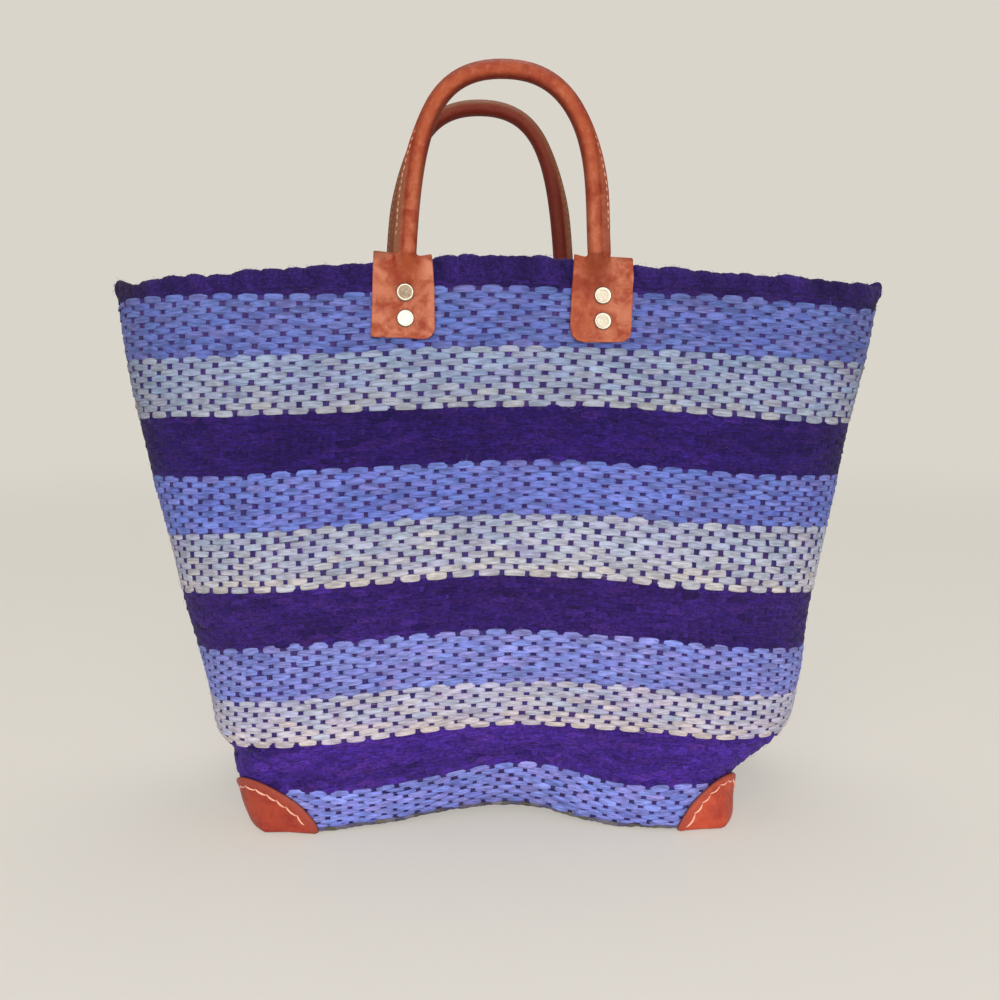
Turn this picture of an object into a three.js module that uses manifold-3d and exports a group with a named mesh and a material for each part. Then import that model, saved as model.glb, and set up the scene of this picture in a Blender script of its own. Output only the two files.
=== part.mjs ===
// Woven tote bag: an open woven body with a bound rim, leather corner patches, and two rolled
// leather handles whose flat tabs are riveted through the weave.
// Millimetres, +Z up, front at -Y. The origin is on the floor under the middle of the bag.
import * as THREE from "three";
import { mergeVertices } from "three/addons/utils/BufferGeometryUtils.js";
import Module from "manifold-3d";

const wasm = await Module();
wasm.setup();

// Body sizes. Widths run along X and depths along Y, over the outside of the weave.
const RIM_HEIGHT = 335; // top of the rim at the middle of the front
const MOUTH_WIDTH = 473;
const MOUTH_DEPTH = 100;
const BELLY_HEIGHT = 93; // where the body is fullest over the base
const BELLY_WIDTH = 371;
const BELLY_DEPTH = 164;
const BASE_WIDTH = 294;
const BASE_DEPTH = 152;
const BASE_LIFT = 8; // how far the base edge arches up at the middle of the front and back
const BASE_DENT = 18; // how far the same stretch is pushed in
const WEAVE_THICKNESS = 4;

// Rim binding, a channel of strands folded over the top edge of the weave
const BINDING_OVER = 3.2; // above the weave's top edge
const BINDING_DROP = 7; // down the faces of the weave
const BINDING_WALL = 1.7;

// Leather corner patches
const LEATHER = 2;
const PATCH_REACH_X = 43;
const PATCH_REACH_Y = 40;
const PATCH_HEIGHT = 36;
const PATCH_SQUARE = 1.4; // exponent of the patch outline: 1 is a straight slope, 2 an ellipse

// Handles and their tabs
const HANDLE_DIAMETER = 10;
const HANDLE_LEATHER = 1.8;
const HANDLE_RISE = 98; // hinge line to the top of the centreline
const LEG_SPACING = 106;
const BACK_EXTRA_RISE = 3.5; // the two handles are cut by hand, and are not quite alike
const BACK_EXTRA_SPACING = 3;
const FRONT_HANDLE_X = -1.2; // nor are they sewn on exactly opposite each other
const BACK_HANDLE_X = -13;
const SEAM_REACH = 3.4; // the stitched flange outside the roll
const SEAM_THICKNESS = 3.6;
const TAB_WIDTH = 35;
const TAB_HEIGHT = 48;
const TAB_LEATHER = 2.4;
const TAB_CORNER = 7;
const TAB_OUTWARD = 3.5; // tab centre outside the leg centre
const TAB_OVER_RIM = 2;
const NECK_LENGTH = 15; // the roll fades into the tab over this height
const BACKING_WIDTH = 24;
const BACKING_HEIGHT = 28;
const BACKING_LEATHER = 1.8;
const BACKING_CORNER = 5;

// Rivets: a capped tube from outside, closed by a capped post from inside
const RIVET_CAP = 10;
const RIVET_CAP_HEIGHT = 1.5;
const RIVET_SHANK = 3.4;
const RIVET_BORE = 2;
const RIVET_POST = 1.6;
const RIVET_OUTWARD_LEFT = 1.5; // rivet line outside the leg centre
const RIVET_OUTWARD_RIGHT = 4;
const RIVET_DROPS = [22.3, 36.6]; // below the hinge line
const RIVET_RIGHT_LOWER = 1.5; // the right hand tabs are riveted a little lower

const CLEARANCE = 0.3;
const AROUND = 56; // columns round the body
const RIVET_SIDES = 10;

const leather = { color: 0xb8583a, roughness: 0.55, metalness: 0 };
const cornerLeather = { color: 0xbe4b32, roughness: 0.5, metalness: 0 };
const weave = { color: 0x687cd6, roughness: 0.8, metalness: 0 };
const darkWeave = { color: 0x341c6e, roughness: 0.85, metalness: 0 };
const cord = { color: 0xc9b48a, roughness: 0.9, metalness: 0 };
const nickel = { color: 0xd6d2c8, roughness: 0.3, metalness: 0.9 };

const smooth = (t) => {
  const u = Math.min(1, Math.max(0, t));
  return u * u * (3 - 2 * u);
};
const between = (a, b, share) => a + (b - a) * share;

// Cross-sections of the body, from the base edge to the rim. Shares say how far the height, width
// and depth have gone from one driving section to the next. square is the exponent of the
// section's superellipse, droop how far the ends hang below the middle, peak how narrow that
// arch is, dent how far the middle is pushed in, lean how far the soft body sways along X.
const BASE_RISE = LEATHER + CLEARANCE + BASE_LIFT;
const lower = (rise, width, depth, shape) => ({
  rise: between(BASE_RISE, BELLY_HEIGHT, rise),
  width: between(BASE_WIDTH, BELLY_WIDTH, width),
  depth: between(BASE_DEPTH, BELLY_DEPTH, depth),
  ...shape,
});
const upper = (rise, width, depth, shape) => ({
  rise: between(BELLY_HEIGHT, RIM_HEIGHT, rise),
  width: between(BELLY_WIDTH, MOUTH_WIDTH, width),
  depth: between(BELLY_DEPTH, MOUTH_DEPTH, depth),
  ...shape,
});
const SECTIONS = [
  lower(0.0, 0.0, 0.0, { square: 8.0, droop: BASE_LIFT, peak: 3.0, dent: BASE_DENT, lean: -7 }),
  lower(0.17, 0.09, 0.5, { square: 6.5, droop: 10, peak: 2.7, dent: BASE_DENT * 0.67, lean: -8.5 }),
  lower(0.36, 0.23, 0.83, { square: 5.2, droop: 13, peak: 2.4, dent: BASE_DENT * 0.33, lean: -7 }),
  lower(0.77, 0.86, 1.0, { square: 3.7, droop: 20, peak: 1.8, dent: 0, lean: 1 }),
  upper(0.0, 0.0, 0.0, { square: 3.3, droop: 22, peak: 1.5, dent: 0, lean: 2 }),
  upper(0.25, 0.28, 0.16, { square: 2.6, droop: 22.5, peak: 1.2, dent: 0, lean: -1 }),
  upper(0.65, 0.72, 0.59, { square: 2.3, droop: 14.5, peak: 1.0, dent: 0, lean: -2 }),
  upper(1.0, 1.0, 1.0, { square: 2.2, droop: 12, peak: 1.0, dent: 0, lean: 0 }),
];

// The section at any rise, by a smooth curve through the sections above
function slope(key, i) {
  const last = SECTIONS.length - 1;
  const before = SECTIONS[Math.max(0, i - 1)];
  const here = SECTIONS[i];
  const after = SECTIONS[Math.min(last, i + 1)];
  if (i === 0) return (after[key] - here[key]) / (after.rise - here.rise);
  if (i === last) return (here[key] - before[key]) / (here.rise - before.rise);
  const h1 = here.rise - before.rise;
  const h2 = after.rise - here.rise;
  const d1 = (here[key] - before[key]) / h1;
  const d2 = (after[key] - here[key]) / h2;
  return (d1 * h2 + d2 * h1) / (h1 + h2);
}

function sectionAt(rise) {
  const r = Math.min(Math.max(rise, SECTIONS[0].rise), SECTIONS[SECTIONS.length - 1].rise);
  let i = 0;
  while (i < SECTIONS.length - 2 && r > SECTIONS[i + 1].rise) i += 1;
  const a = SECTIONS[i];
  const b = SECTIONS[i + 1];
  const h = b.rise - a.rise;
  const t = (r - a.rise) / h;
  const result = { rise: r };
  for (const key of ["width", "depth", "square", "droop", "peak", "dent", "lean"]) {
    const m0 = slope(key, i) * h;
    const m1 = slope(key, i + 1) * h;
    const t2 = t * t;
    const t3 = t2 * t;
    result[key] =
      (2 * t3 - 3 * t2 + 1) * a[key] +
      (t3 - 2 * t2 + t) * m0 +
      (3 * t2 - 2 * t3) * b[key] +
      (t3 - t2) * m1;
  }
  return result;
}

// A point of the superellipse of half-axes 1, at a polar angle
function unitPoint(angle, square) {
  const c = Math.cos(angle);
  const s = Math.sin(angle);
  const r = (Math.abs(c) ** square + Math.abs(s) ** square) ** (-1 / square);
  return [r * c, r * s];
}

// Polar angles that divide one section into AROUND equal lengths, from +X towards +Y
function equalAngles(section) {
  const steps = 64;
  const lengths = [0];
  for (let i = 1; i <= steps; i += 1) {
    const p = unitPoint(((i - 1) / steps) * (Math.PI / 2), section.square);
    const q = unitPoint((i / steps) * (Math.PI / 2), section.square);
    const dx = ((q[0] - p[0]) * section.width) / 2;
    const dy = ((q[1] - p[1]) * section.depth) / 2;
    lengths.push(lengths[i - 1] + Math.hypot(dx, dy));
  }
  const quarter = lengths[steps];
  const angleAt = (length) => {
    let i = 1;
    while (i < steps && lengths[i] < length) i += 1;
    const t = (length - lengths[i - 1]) / (lengths[i] - lengths[i - 1]);
    return ((i - 1 + t) / steps) * (Math.PI / 2);
  };
  return Array.from({ length: AROUND }, (_, k) => {
    const along = (4 * k) / AROUND;
    const turn = Math.floor(along);
    const part = along - turn;
    const flip = turn % 2 === 1;
    const angle = angleAt((flip ? 1 - part : part) * quarter);
    return (turn * Math.PI) / 2 + (flip ? Math.PI / 2 - angle : angle);
  });
}

// One ring of the body's outer face, moved along the face's normal by `out`
function facePoint(section, angle) {
  const [ux, uy] = unitPoint(angle, section.square);
  const middle = Math.max(0, 1 - ux * ux);
  const x = section.lean + (ux * section.width) / 2;
  const y = (uy * section.depth) / 2 - Math.sign(uy) * section.dent * middle ** 3;
  const z = section.rise - section.droop * (1 - middle ** section.peak);
  return new THREE.Vector3(x, y, z);
}

function bodyRing(rise, out) {
  const step = 1.5;
  const section = sectionAt(rise);
  const above = sectionAt(rise + step);
  const below = sectionAt(rise - step);
  return equalAngles(section).map((angle) => {
    const p = facePoint(section, angle);
    const along = facePoint(section, angle + 0.01).sub(facePoint(section, angle - 0.01));
    const up = facePoint(above, angle).sub(facePoint(below, angle));
    return p.addScaledVector(along.cross(up).normalize(), out);
  });
}

// The base runs in from the base edge, flat near the corners and slightly lifted at its centre
function baseRing(share, lift) {
  const centreZ = LEATHER + CLEARANCE + BASE_LIFT * 0.8;
  return bodyRing(BASE_RISE, 0).map((p) => {
    const lean = SECTIONS[0].lean;
    const z = between(centreZ, p.z, share ** 3);
    return new THREE.Vector3(between(lean, p.x, share), p.y * share, z + lift);
  });
}

// Closed skin over rings of equal count. A ring of one point closes an end.
function skin(rings, loop = false) {
  const points = [];
  const faces = [];
  const starts = rings.map((ring) => {
    const start = points.length;
    points.push(...ring);
    return start;
  });
  const pairs = loop ? rings.length : rings.length - 1;
  for (let j = 0; j < pairs; j += 1) {
    const k = (j + 1) % rings.length;
    const count = Math.max(rings[j].length, rings[k].length);
    for (let i = 0; i < count; i += 1) {
      const n = (i + 1) % count;
      const a = starts[j] + (rings[j].length === 1 ? 0 : i);
      const b = starts[j] + (rings[j].length === 1 ? 0 : n);
      const c = starts[k] + (rings[k].length === 1 ? 0 : n);
      const d = starts[k] + (rings[k].length === 1 ? 0 : i);
      if (a !== b) faces.push(a, b, c);
      if (c !== d) faces.push(a, c, d);
    }
  }
  const geometry = new THREE.BufferGeometry();
  const flat = points.flatMap((p) => [p.x, p.y, p.z]);
  geometry.setAttribute("position", new THREE.Float32BufferAttribute(flat, 3));
  geometry.setIndex(faces);
  return geometry;
}

// Booleans
function toSolid(geometry) {
  const bare = geometry.clone();
  bare.deleteAttribute("normal");
  bare.deleteAttribute("uv");
  const merged = mergeVertices(bare, 1e-5);
  return new wasm.Manifold(
    new wasm.Mesh({
      numProp: 3,
      vertProperties: new Float32Array(merged.attributes.position.array),
      triVerts: new Uint32Array(merged.index.array),
    })
  );
}

function toGeometry(solid) {
  const mesh = solid.getMesh();
  const geometry = new THREE.BufferGeometry();
  const count = mesh.vertProperties.length / mesh.numProp;
  const flat = new Float32Array(count * 3);
  for (let i = 0; i < count; i += 1) {
    for (let k = 0; k < 3; k += 1) flat[3 * i + k] = mesh.vertProperties[mesh.numProp * i + k];
  }
  geometry.setAttribute("position", new THREE.BufferAttribute(flat, 3));
  geometry.setIndex(new THREE.BufferAttribute(new Uint32Array(mesh.triVerts), 1));
  return geometry;
}

function mirrorY(geometry) {
  const copy = geometry.clone();
  const position = copy.attributes.position;
  for (let i = 0; i < position.count; i += 1) position.setY(i, -position.getY(i));
  const index = copy.index.array;
  for (let i = 0; i < index.length; i += 3) {
    const keep = index[i];
    index[i] = index[i + 1];
    index[i + 1] = keep;
  }
  return copy;
}

// The front face of the body as a height field: y and the outward normal at a given x and z
function frontY(x, z) {
  let rise = z;
  let section = sectionAt(rise);
  let ux = 0;
  for (let i = 0; i < 30; i += 1) {
    section = sectionAt(rise);
    ux = (2 * (x - section.lean)) / section.width;
    rise = z + section.droop * (1 - Math.max(0, 1 - ux * ux) ** section.peak);
  }
  const across = (1 - Math.abs(ux) ** section.square) ** (1 / section.square);
  const dent = section.dent * (1 - ux * ux) ** 3;
  return -((section.depth / 2) * across - dent);
}

function frontNormal(x, z) {
  const step = 2;
  const slopeX = (frontY(x + step, z) - frontY(x - step, z)) / (2 * step);
  const slopeZ = (frontY(x, z + step) - frontY(x, z - step)) / (2 * step);
  return new THREE.Vector3(slopeX, -1, slopeZ).normalize();
}

// Top edge of the weave, under the binding, at a given x
const WEAVE_TOP = RIM_HEIGHT - BINDING_OVER;
function rimTop(x) {
  const rim = SECTIONS[SECTIONS.length - 1];
  return RIM_HEIGHT - rim.droop * ((2 * x) / rim.width) ** 2;
}

// Rows of the loft: rises from the base edge to the top of the weave, and shares of the base
const RISES = [
  ...[0, 0.08, 0.19, 0.33, 0.5, 0.74].map((share) => between(BASE_RISE, BELLY_HEIGHT, share)),
  ...[0, 0.14, 0.33, 0.6, 0.82].map((share) => between(BELLY_HEIGHT, WEAVE_TOP, share)),
  WEAVE_TOP - BINDING_DROP,
  WEAVE_TOP,
];
const BASE_SHARES = [0.3, 0.62, 0.86];

// Woven body: outer base, outer face, top edge, inner face and floor in one closed skin
function bodyRings() {
  const innerRises = RISES.filter((rise, i) => i % 2 === 1 || rise > RIM_HEIGHT / 2).reverse();
  const floorRing = bodyRing(BASE_RISE + 1.5, -WEAVE_THICKNESS).map((p) => {
    p.z += WEAVE_THICKNESS;
    return p;
  });
  const floorShare = (share) =>
    floorRing.map((p) => {
      const lean = SECTIONS[0].lean;
      const centreZ = LEATHER + CLEARANCE + BASE_LIFT * 0.8 + WEAVE_THICKNESS;
      const z = between(centreZ, p.z, share ** 3);
      return new THREE.Vector3(between(lean, p.x, share), p.y * share, z);
    });
  return [
    [baseRing(0, 0)[0]],
    ...BASE_SHARES.map((share) => baseRing(share, 0)),
    ...RISES.map((rise) => bodyRing(rise, 0)),
    ...innerRises.map((rise) => bodyRing(rise, -WEAVE_THICKNESS)),
    floorRing,
    ...[...BASE_SHARES].reverse().map((share) => floorShare(share)),
    [floorShare(0)[0]],
  ];
}

// Rim binding: a channel section swept round the top edge
function bindingRings() {
  const edge = bodyRing(WEAVE_TOP, 0);
  const outside = bodyRing(WEAVE_TOP, 1);
  const beneath = bodyRing(WEAVE_TOP - BINDING_DROP, 0);
  const gap = CLEARANCE;
  const wall = BINDING_WALL;
  const t = WEAVE_THICKNESS;
  const profile = [
    [gap, gap],
    [-t - gap, gap],
    [-t - gap, -BINDING_DROP],
    [-t - gap - wall, -BINDING_DROP * 0.8],
    [-t - gap - wall, BINDING_OVER * 0.2],
    [-t - gap - wall * 0.2, BINDING_OVER * 0.85],
    [-t / 2, BINDING_OVER],
    [gap + wall * 0.2, BINDING_OVER * 0.85],
    [gap + wall, BINDING_OVER * 0.2],
    [gap + wall, -BINDING_DROP * 0.8],
    [gap, -BINDING_DROP],
  ];
  return edge.map((p, i) => {
    const out = outside[i].clone().sub(p);
    const up = p.clone().sub(beneath[i]).normalize();
    return profile.map(([o, h]) => p.clone().addScaledVector(out, o).addScaledVector(up, h));
  });
}

// Corner patch: a leather cup over one bottom corner, flat where it stands on the floor
function grownCorner(out, baseDrop) {
  const base = (share) => baseRing(share, -baseDrop);
  const edge = bodyRing(BASE_RISE, out).map((p) => p.setZ(p.z - baseDrop));
  const walls = RISES.slice(1, 5).map((rise) => bodyRing(rise, out));
  const lid = new THREE.Vector3(SECTIONS[0].lean, 0, walls[walls.length - 1][0].z);
  return toSolid(skin([[base(0)[0]], ...BASE_SHARES.map(base), edge, ...walls, [lid]]));
}

const patchOuter = grownCorner(CLEARANCE + LEATHER, CLEARANCE + LEATHER + 1);
const patchInner = grownCorner(CLEARANCE, CLEARANCE);

function cornerPatch(sideX, sideY) {
  const centre = new THREE.Vector3(
    SECTIONS[0].lean + (sideX * (BASE_WIDTH / 2 + LEATHER)),
    sideY * (BASE_DEPTH / 2),
    0
  );
  const reach = new THREE.SphereGeometry(1, 24, 16);
  const points = reach.attributes.position;
  for (let i = 0; i < points.count; i += 1) {
    const p = new THREE.Vector3().fromBufferAttribute(points, i);
    const powers = p.toArray().map((v) => Math.abs(v) ** PATCH_SQUARE);
    const size = (powers[0] + powers[1] + powers[2]) ** (-1 / PATCH_SQUARE);
    points.setXYZ(i, p.x * size, p.y * size, p.z * size);
  }
  reach.scale(PATCH_REACH_X, PATCH_REACH_Y, PATCH_HEIGHT);
  reach.translate(centre.x, centre.y, centre.z);
  const floor = new THREE.BoxGeometry(4 * PATCH_REACH_X, 4 * PATCH_REACH_Y, 2 * PATCH_HEIGHT);
  floor.translate(centre.x, centre.y, PATCH_HEIGHT);
  return toGeometry(
    patchOuter.subtract(patchInner).intersect(toSolid(reach)).intersect(toSolid(floor))
  );
}

// Handle path in its own plane: u across, w above the hinge line
function handleCurve(handle) {
  const half = handle.spacing / 2;
  const top = handle.rise;
  const leg = (side) => [
    new THREE.Vector3(side * half, 0, 0),
    new THREE.Vector3(side * (half - 4), 0, top * 0.68),
    new THREE.Vector3(side * (half - 11), 0, top),
    new THREE.Vector3(0, 0, top),
  ];
  const path = new THREE.CurvePath();
  path.add(new THREE.CubicBezierCurve3(...leg(-1)));
  path.add(new THREE.CubicBezierCurve3(...leg(1).reverse()));
  return path;
}

const HINGE_Z = rimTop(LEG_SPACING / 2) + TAB_OVER_RIM;
const ROLL_FACE = CLEARANCE + BINDING_WALL; // how far the binding stands out of the weave

// How far the back of a tab stands off the weave: over the binding at the top, close to it below
function tabBack(x, z) {
  const start = rimTop(x) - BINDING_OVER - BINDING_DROP - 7;
  return CLEARANCE + ROLL_FACE * smooth((z - start) / 6);
}

// The hinge line of a handle: the middle of the roll, between the places of its two tabs
function hingeOf(handle) {
  const legs = [handle.x - handle.spacing / 2, handle.x + handle.spacing / 2];
  const faces = legs.map((x) => frontY(x, HINGE_Z) - tabBack(x, HINGE_Z));
  const y = (faces[0] + faces[1]) / 2 - HANDLE_DIAMETER / 2;
  return new THREE.Vector3(handle.x, y, HINGE_Z);
}

// Front face of a tab: flat leather that swells into the roll towards its top edge
function tabFront(x, z, legX, hinge) {
  const across = Math.min(1, Math.abs(x - legX) / (HANDLE_DIAMETER * 0.95));
  const back = frontY(legX, HINGE_Z) - tabBack(legX, HINGE_Z);
  const roll = back - hinge.y + HANDLE_DIAMETER / 2;
  const swell = (roll - TAB_LEATHER) * Math.cos((across * Math.PI) / 2) ** 2;
  const fade = smooth(1 - (HINGE_Z - z) / NECK_LENGTH);
  return tabBack(x, z) + TAB_LEATHER + swell * fade;
}

// A sheet that follows the front of the body between two offset fields, round at its lower
// corners, with rows at the given heights above them
function sheet(centreX, width, bottom, corner, above, near, far, columns) {
  const cornerRows = [0, 0.07, 0.25, 0.55, 1].map((share) => bottom + corner * share);
  const rings = [...cornerRows, ...above].map((z) => {
    const d = Math.max(0, corner - (z - bottom));
    const half = width / 2 - corner + Math.sqrt(Math.max(0, corner * corner - d * d));
    const row = Array.from({ length: columns + 1 }, (_, i) => centreX - half + (2 * half * i) / columns);
    return [
      ...row.map((x) => new THREE.Vector3(x, frontY(x, z) - far(x, z), z)),
      ...row.reverse().map((x) => new THREE.Vector3(x, frontY(x, z) - near(x, z), z)),
    ];
  });
  return closeSheet(skinOpen(rings), rings, columns);
}

// Side faces of stacked outlines, left open at both ends
function skinOpen(rings) {
  const points = rings.flat();
  const faces = [];
  const count = rings[0].length;
  for (let j = 0; j < rings.length - 1; j += 1) {
    for (let i = 0; i < count; i += 1) {
      const n = (i + 1) % count;
      const a = j * count + i;
      const b = j * count + n;
      faces.push(a, b, b + count, a, b + count, a + count);
    }
  }
  return { points, faces };
}

// The two end faces of a sheet, between its front and its back row
function closeSheet({ points, faces }, rings, columns) {
  const count = rings[0].length;
  const last = (rings.length - 1) * count;
  for (let i = 0; i < columns; i += 1) {
    const back = count - 1 - i;
    faces.push(i, back - 1, i + 1, i, back, back - 1);
    faces.push(last + i, last + i + 1, last + back - 1, last + i, last + back - 1, last + back);
  }
  const geometry = new THREE.BufferGeometry();
  const flat = points.flatMap((p) => [p.x, p.y, p.z]);
  geometry.setAttribute("position", new THREE.Float32BufferAttribute(flat, 3));
  geometry.setIndex(faces);
  return geometry;
}

const rivetLine = (legX, side) =>
  legX + (side < 0 ? -RIVET_OUTWARD_LEFT : RIVET_OUTWARD_RIGHT);
const rivetDrops = (side) =>
  RIVET_DROPS.map((drop) => drop + (side < 0 ? 0 : RIVET_RIGHT_LOWER));

// Rivets of one tab: where each stands, square to the weave, and how far out its cap seats
function rivetFrames(hinge, legX, side) {
  const x = rivetLine(legX, side);
  return rivetDrops(side).map((drop) => {
    const z = HINGE_Z - drop;
    const origin = new THREE.Vector3(x, frontY(x, z), z);
    const normal = frontNormal(x, z);
    const turn = new THREE.Quaternion().setFromUnitVectors(new THREE.Vector3(0, 0, 1), normal);
    const place = new THREE.Matrix4().makeRotationFromQuaternion(turn).setPosition(origin);
    let seat = 0;
    for (let i = 0; i < RIVET_SIDES; i += 1) {
      const angle = (2 * Math.PI * i) / RIVET_SIDES;
      const px = x + RIVET_CAP * 0.6 * Math.cos(angle);
      const pz = z + RIVET_CAP * 0.6 * Math.sin(angle);
      const face = frontY(px, pz) - tabFront(px, pz, legX, hinge);
      const rimmed = new THREE.Vector3(px, face, pz);
      seat = Math.max(seat, rimmed.sub(origin).dot(normal) + CLEARANCE);
    }
    return { place, seat };
  });
}

const INNER_STACK = WEAVE_THICKNESS + CLEARANCE + BACKING_LEATHER + 2 * CLEARANCE;

function lathe(profile, place) {
  const geometry = new THREE.LatheGeometry(
    profile.map(([r, h]) => new THREE.Vector2(r, h)),
    RIVET_SIDES
  );
  geometry.rotateX(Math.PI / 2);
  geometry.applyMatrix4(place);
  return toGeometry(toSolid(geometry));
}

function rivetCap({ place, seat }) {
  const r = RIVET_CAP / 2;
  const top = seat + RIVET_CAP_HEIGHT;
  const tip = -INNER_STACK + CLEARANCE;
  return lathe(
    [
      [RIVET_BORE / 2, tip],
      [RIVET_SHANK / 2, tip],
      [RIVET_SHANK / 2, seat],
      [r, seat],
      [r, seat + RIVET_CAP_HEIGHT * 0.45],
      [r * 0.82, top],
      [0, top],
      [0, seat],
      [RIVET_BORE / 2, seat - 0.4],
      [RIVET_BORE / 2, tip],
    ],
    place
  );
}

function rivetPost({ place, seat }) {
  const r = RIVET_CAP * 0.42;
  const under = -INNER_STACK;
  return lathe(
    [
      [0, under - RIVET_CAP_HEIGHT],
      [r * 0.75, under - RIVET_CAP_HEIGHT],
      [r, under - RIVET_CAP_HEIGHT * 0.4],
      [r, under],
      [RIVET_POST / 2, under],
      [RIVET_POST / 2, seat - 1.2],
      [0, seat - 1.2],
    ],
    place
  );
}

function rivetHole({ place }) {
  const hole = new THREE.CylinderGeometry(
    RIVET_SHANK / 2 + CLEARANCE,
    RIVET_SHANK / 2 + CLEARANCE,
    40,
    RIVET_SIDES
  );
  hole.rotateX(Math.PI / 2);
  hole.applyMatrix4(place);
  return toSolid(hole);
}

// Tab: the flattened end of a handle's leather, with the rounded neck that the roll turns on
function tabSolid(hinge, legX, side) {
  const centre = legX + side * TAB_OUTWARD;
  const near = (x, z) => tabBack(x, z);
  const far = (x, z) => tabFront(x, z, legX, hinge);
  const bottom = HINGE_Z - TAB_HEIGHT;
  const swelling = [1.15, 0.95, 0.78, 0.6, 0.42, 0.21, 0].map((s) => HINGE_Z - NECK_LENGTH * s);
  const plate = toSolid(sheet(centre, TAB_WIDTH, bottom, TAB_CORNER, swelling, near, far, 8));
  const neck = new THREE.SphereGeometry(HANDLE_DIAMETER / 2, 11, 6);
  neck.rotateX(Math.PI / 2);
  neck.translate(legX, hinge.y, hinge.z);
  return plate.add(toSolid(neck));
}

function backingSolid(legX, side) {
  const [upper, lower] = rivetDrops(side);
  const middle = (upper + lower) / 2;
  const bottom = HINGE_Z - middle - BACKING_HEIGHT / 2;
  const near = () => -WEAVE_THICKNESS - CLEARANCE - BACKING_LEATHER;
  const far = () => -WEAVE_THICKNESS - CLEARANCE;
  const centre = rivetLine(legX, side);
  const rows = [bottom + BACKING_HEIGHT / 2, bottom + BACKING_HEIGHT];
  return toSolid(sheet(centre, BACKING_WIDTH, bottom, BACKING_CORNER, rows, near, far, 3));
}

// Handle leather: a tube with the stitched seam flange on the outer side of the arch
function handleRings(handle, hinge, section) {
  const path = handleCurve(handle);
  const length = path.getLength();
  const trim = HANDLE_DIAMETER / 2 + CLEARANCE;
  const steps = 22;
  return Array.from({ length: steps + 1 }, (_, k) => {
    const u = between(trim / length, 1 - trim / length, k / steps);
    const p = path.getPointAt(u);
    const forward = path.getTangentAt(u);
    const out = new THREE.Vector3(-forward.z, 0, forward.x);
    const seam = smooth((handle.rise - p.z) / (handle.rise * 0.5));
    return section(seam).map(([o, y]) => {
      const q = p.clone().addScaledVector(out, o);
      return new THREE.Vector3(hinge.x + q.x, hinge.y - y, hinge.z + q.z);
    });
  });
}

const SEAM_ANGLE = 22;
const ROLL_ANGLES = [60, 98, 139, 180, 221, 262, 300];
const onCircle = (radius, degrees) => {
  const a = (degrees * Math.PI) / 180;
  return [radius * Math.cos(a), radius * Math.sin(a)];
};

function coverSection(seam) {
  const r = HANDLE_DIAMETER / 2;
  const reach = r + SEAM_REACH * between(0.2, 1, seam);
  return [
    [reach, -SEAM_THICKNESS / 2],
    [reach, SEAM_THICKNESS / 2],
    onCircle(r, SEAM_ANGLE),
    ...ROLL_ANGLES.map((a) => onCircle(r, a)),
    onCircle(r, -SEAM_ANGLE),
  ];
}

function boreSection() {
  const r = HANDLE_DIAMETER / 2 - HANDLE_LEATHER;
  return [-8, 8, SEAM_ANGLE, ...ROLL_ANGLES, -SEAM_ANGLE].map((a) => onCircle(r, a));
}

function coreSection() {
  const r = HANDLE_DIAMETER / 2 - HANDLE_LEATHER - CLEARANCE;
  return Array.from({ length: 6 }, (_, i) => onCircle(r, i * 60));
}

function handleCover(handle, hinge) {
  const outer = handleRings(handle, hinge, coverSection);
  const bore = handleRings(handle, hinge, boreSection).reverse();
  return skin([...outer, ...bore], true);
}

function handleCore(handle, hinge) {
  const rings = handleRings(handle, hinge, coreSection);
  const centre = (ring) =>
    ring.reduce((sum, p) => sum.add(p), new THREE.Vector3()).multiplyScalar(1 / ring.length);
  return skin([[centre(rings[0])], ...rings, [centre(rings[rings.length - 1])]]);
}

// Assembly
const bag = new THREE.Group();
function addPiece(name, geometry, finish) {
  const mesh = new THREE.Mesh(geometry, new THREE.MeshStandardMaterial(finish));
  mesh.name = name;
  bag.add(mesh);
}

let body = toSolid(skin(bodyRings()));
const handles = [
  { face: "front", x: FRONT_HANDLE_X, spacing: LEG_SPACING, rise: HANDLE_RISE, flip: false },
  {
    face: "back",
    x: BACK_HANDLE_X,
    spacing: LEG_SPACING + BACK_EXTRA_SPACING,
    rise: HANDLE_RISE + BACK_EXTRA_RISE,
    flip: true,
  },
];

for (const handle of handles) {
  const turnRound = (geometry) => (handle.flip ? mirrorY(geometry) : geometry);
  const hinge = hingeOf(handle);
  const sides = [
    { name: "left", sign: -1 },
    { name: "right", sign: 1 },
  ];
  for (const side of sides) {
    const legX = handle.x + (side.sign * handle.spacing) / 2;
    const frames = rivetFrames(hinge, legX, side.sign);
    let tab = tabSolid(hinge, legX, side.sign);
    let backing = backingSolid(legX, side.sign);
    for (const frame of frames) {
      const hole = rivetHole(frame);
      tab = tab.subtract(hole);
      backing = backing.subtract(hole);
      body = body.subtract(handle.flip ? toSolid(mirrorY(toGeometry(hole))) : hole);
    }
    const base = `${handle.face}_${side.name}`;
    addPiece(`${base}_tab`, turnRound(toGeometry(tab)), leather);
    addPiece(`${base}_backing`, turnRound(toGeometry(backing)), leather);
    frames.forEach((frame, i) => {
      const place = ["upper", "lower"][i];
      addPiece(`${base}_${place}_rivet_cap`, turnRound(rivetCap(frame)), nickel);
      addPiece(`${base}_${place}_rivet_post`, turnRound(rivetPost(frame)), nickel);
    });
  }
  addPiece(`${handle.face}_handle_cover`, turnRound(handleCover(handle, hinge)), leather);
  addPiece(`${handle.face}_handle_core`, turnRound(handleCore(handle, hinge)), cord);
  console.log(`${handle.face} handle hinge`, hinge.x, handle.flip ? -hinge.y : hinge.y, hinge.z);
}

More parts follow.
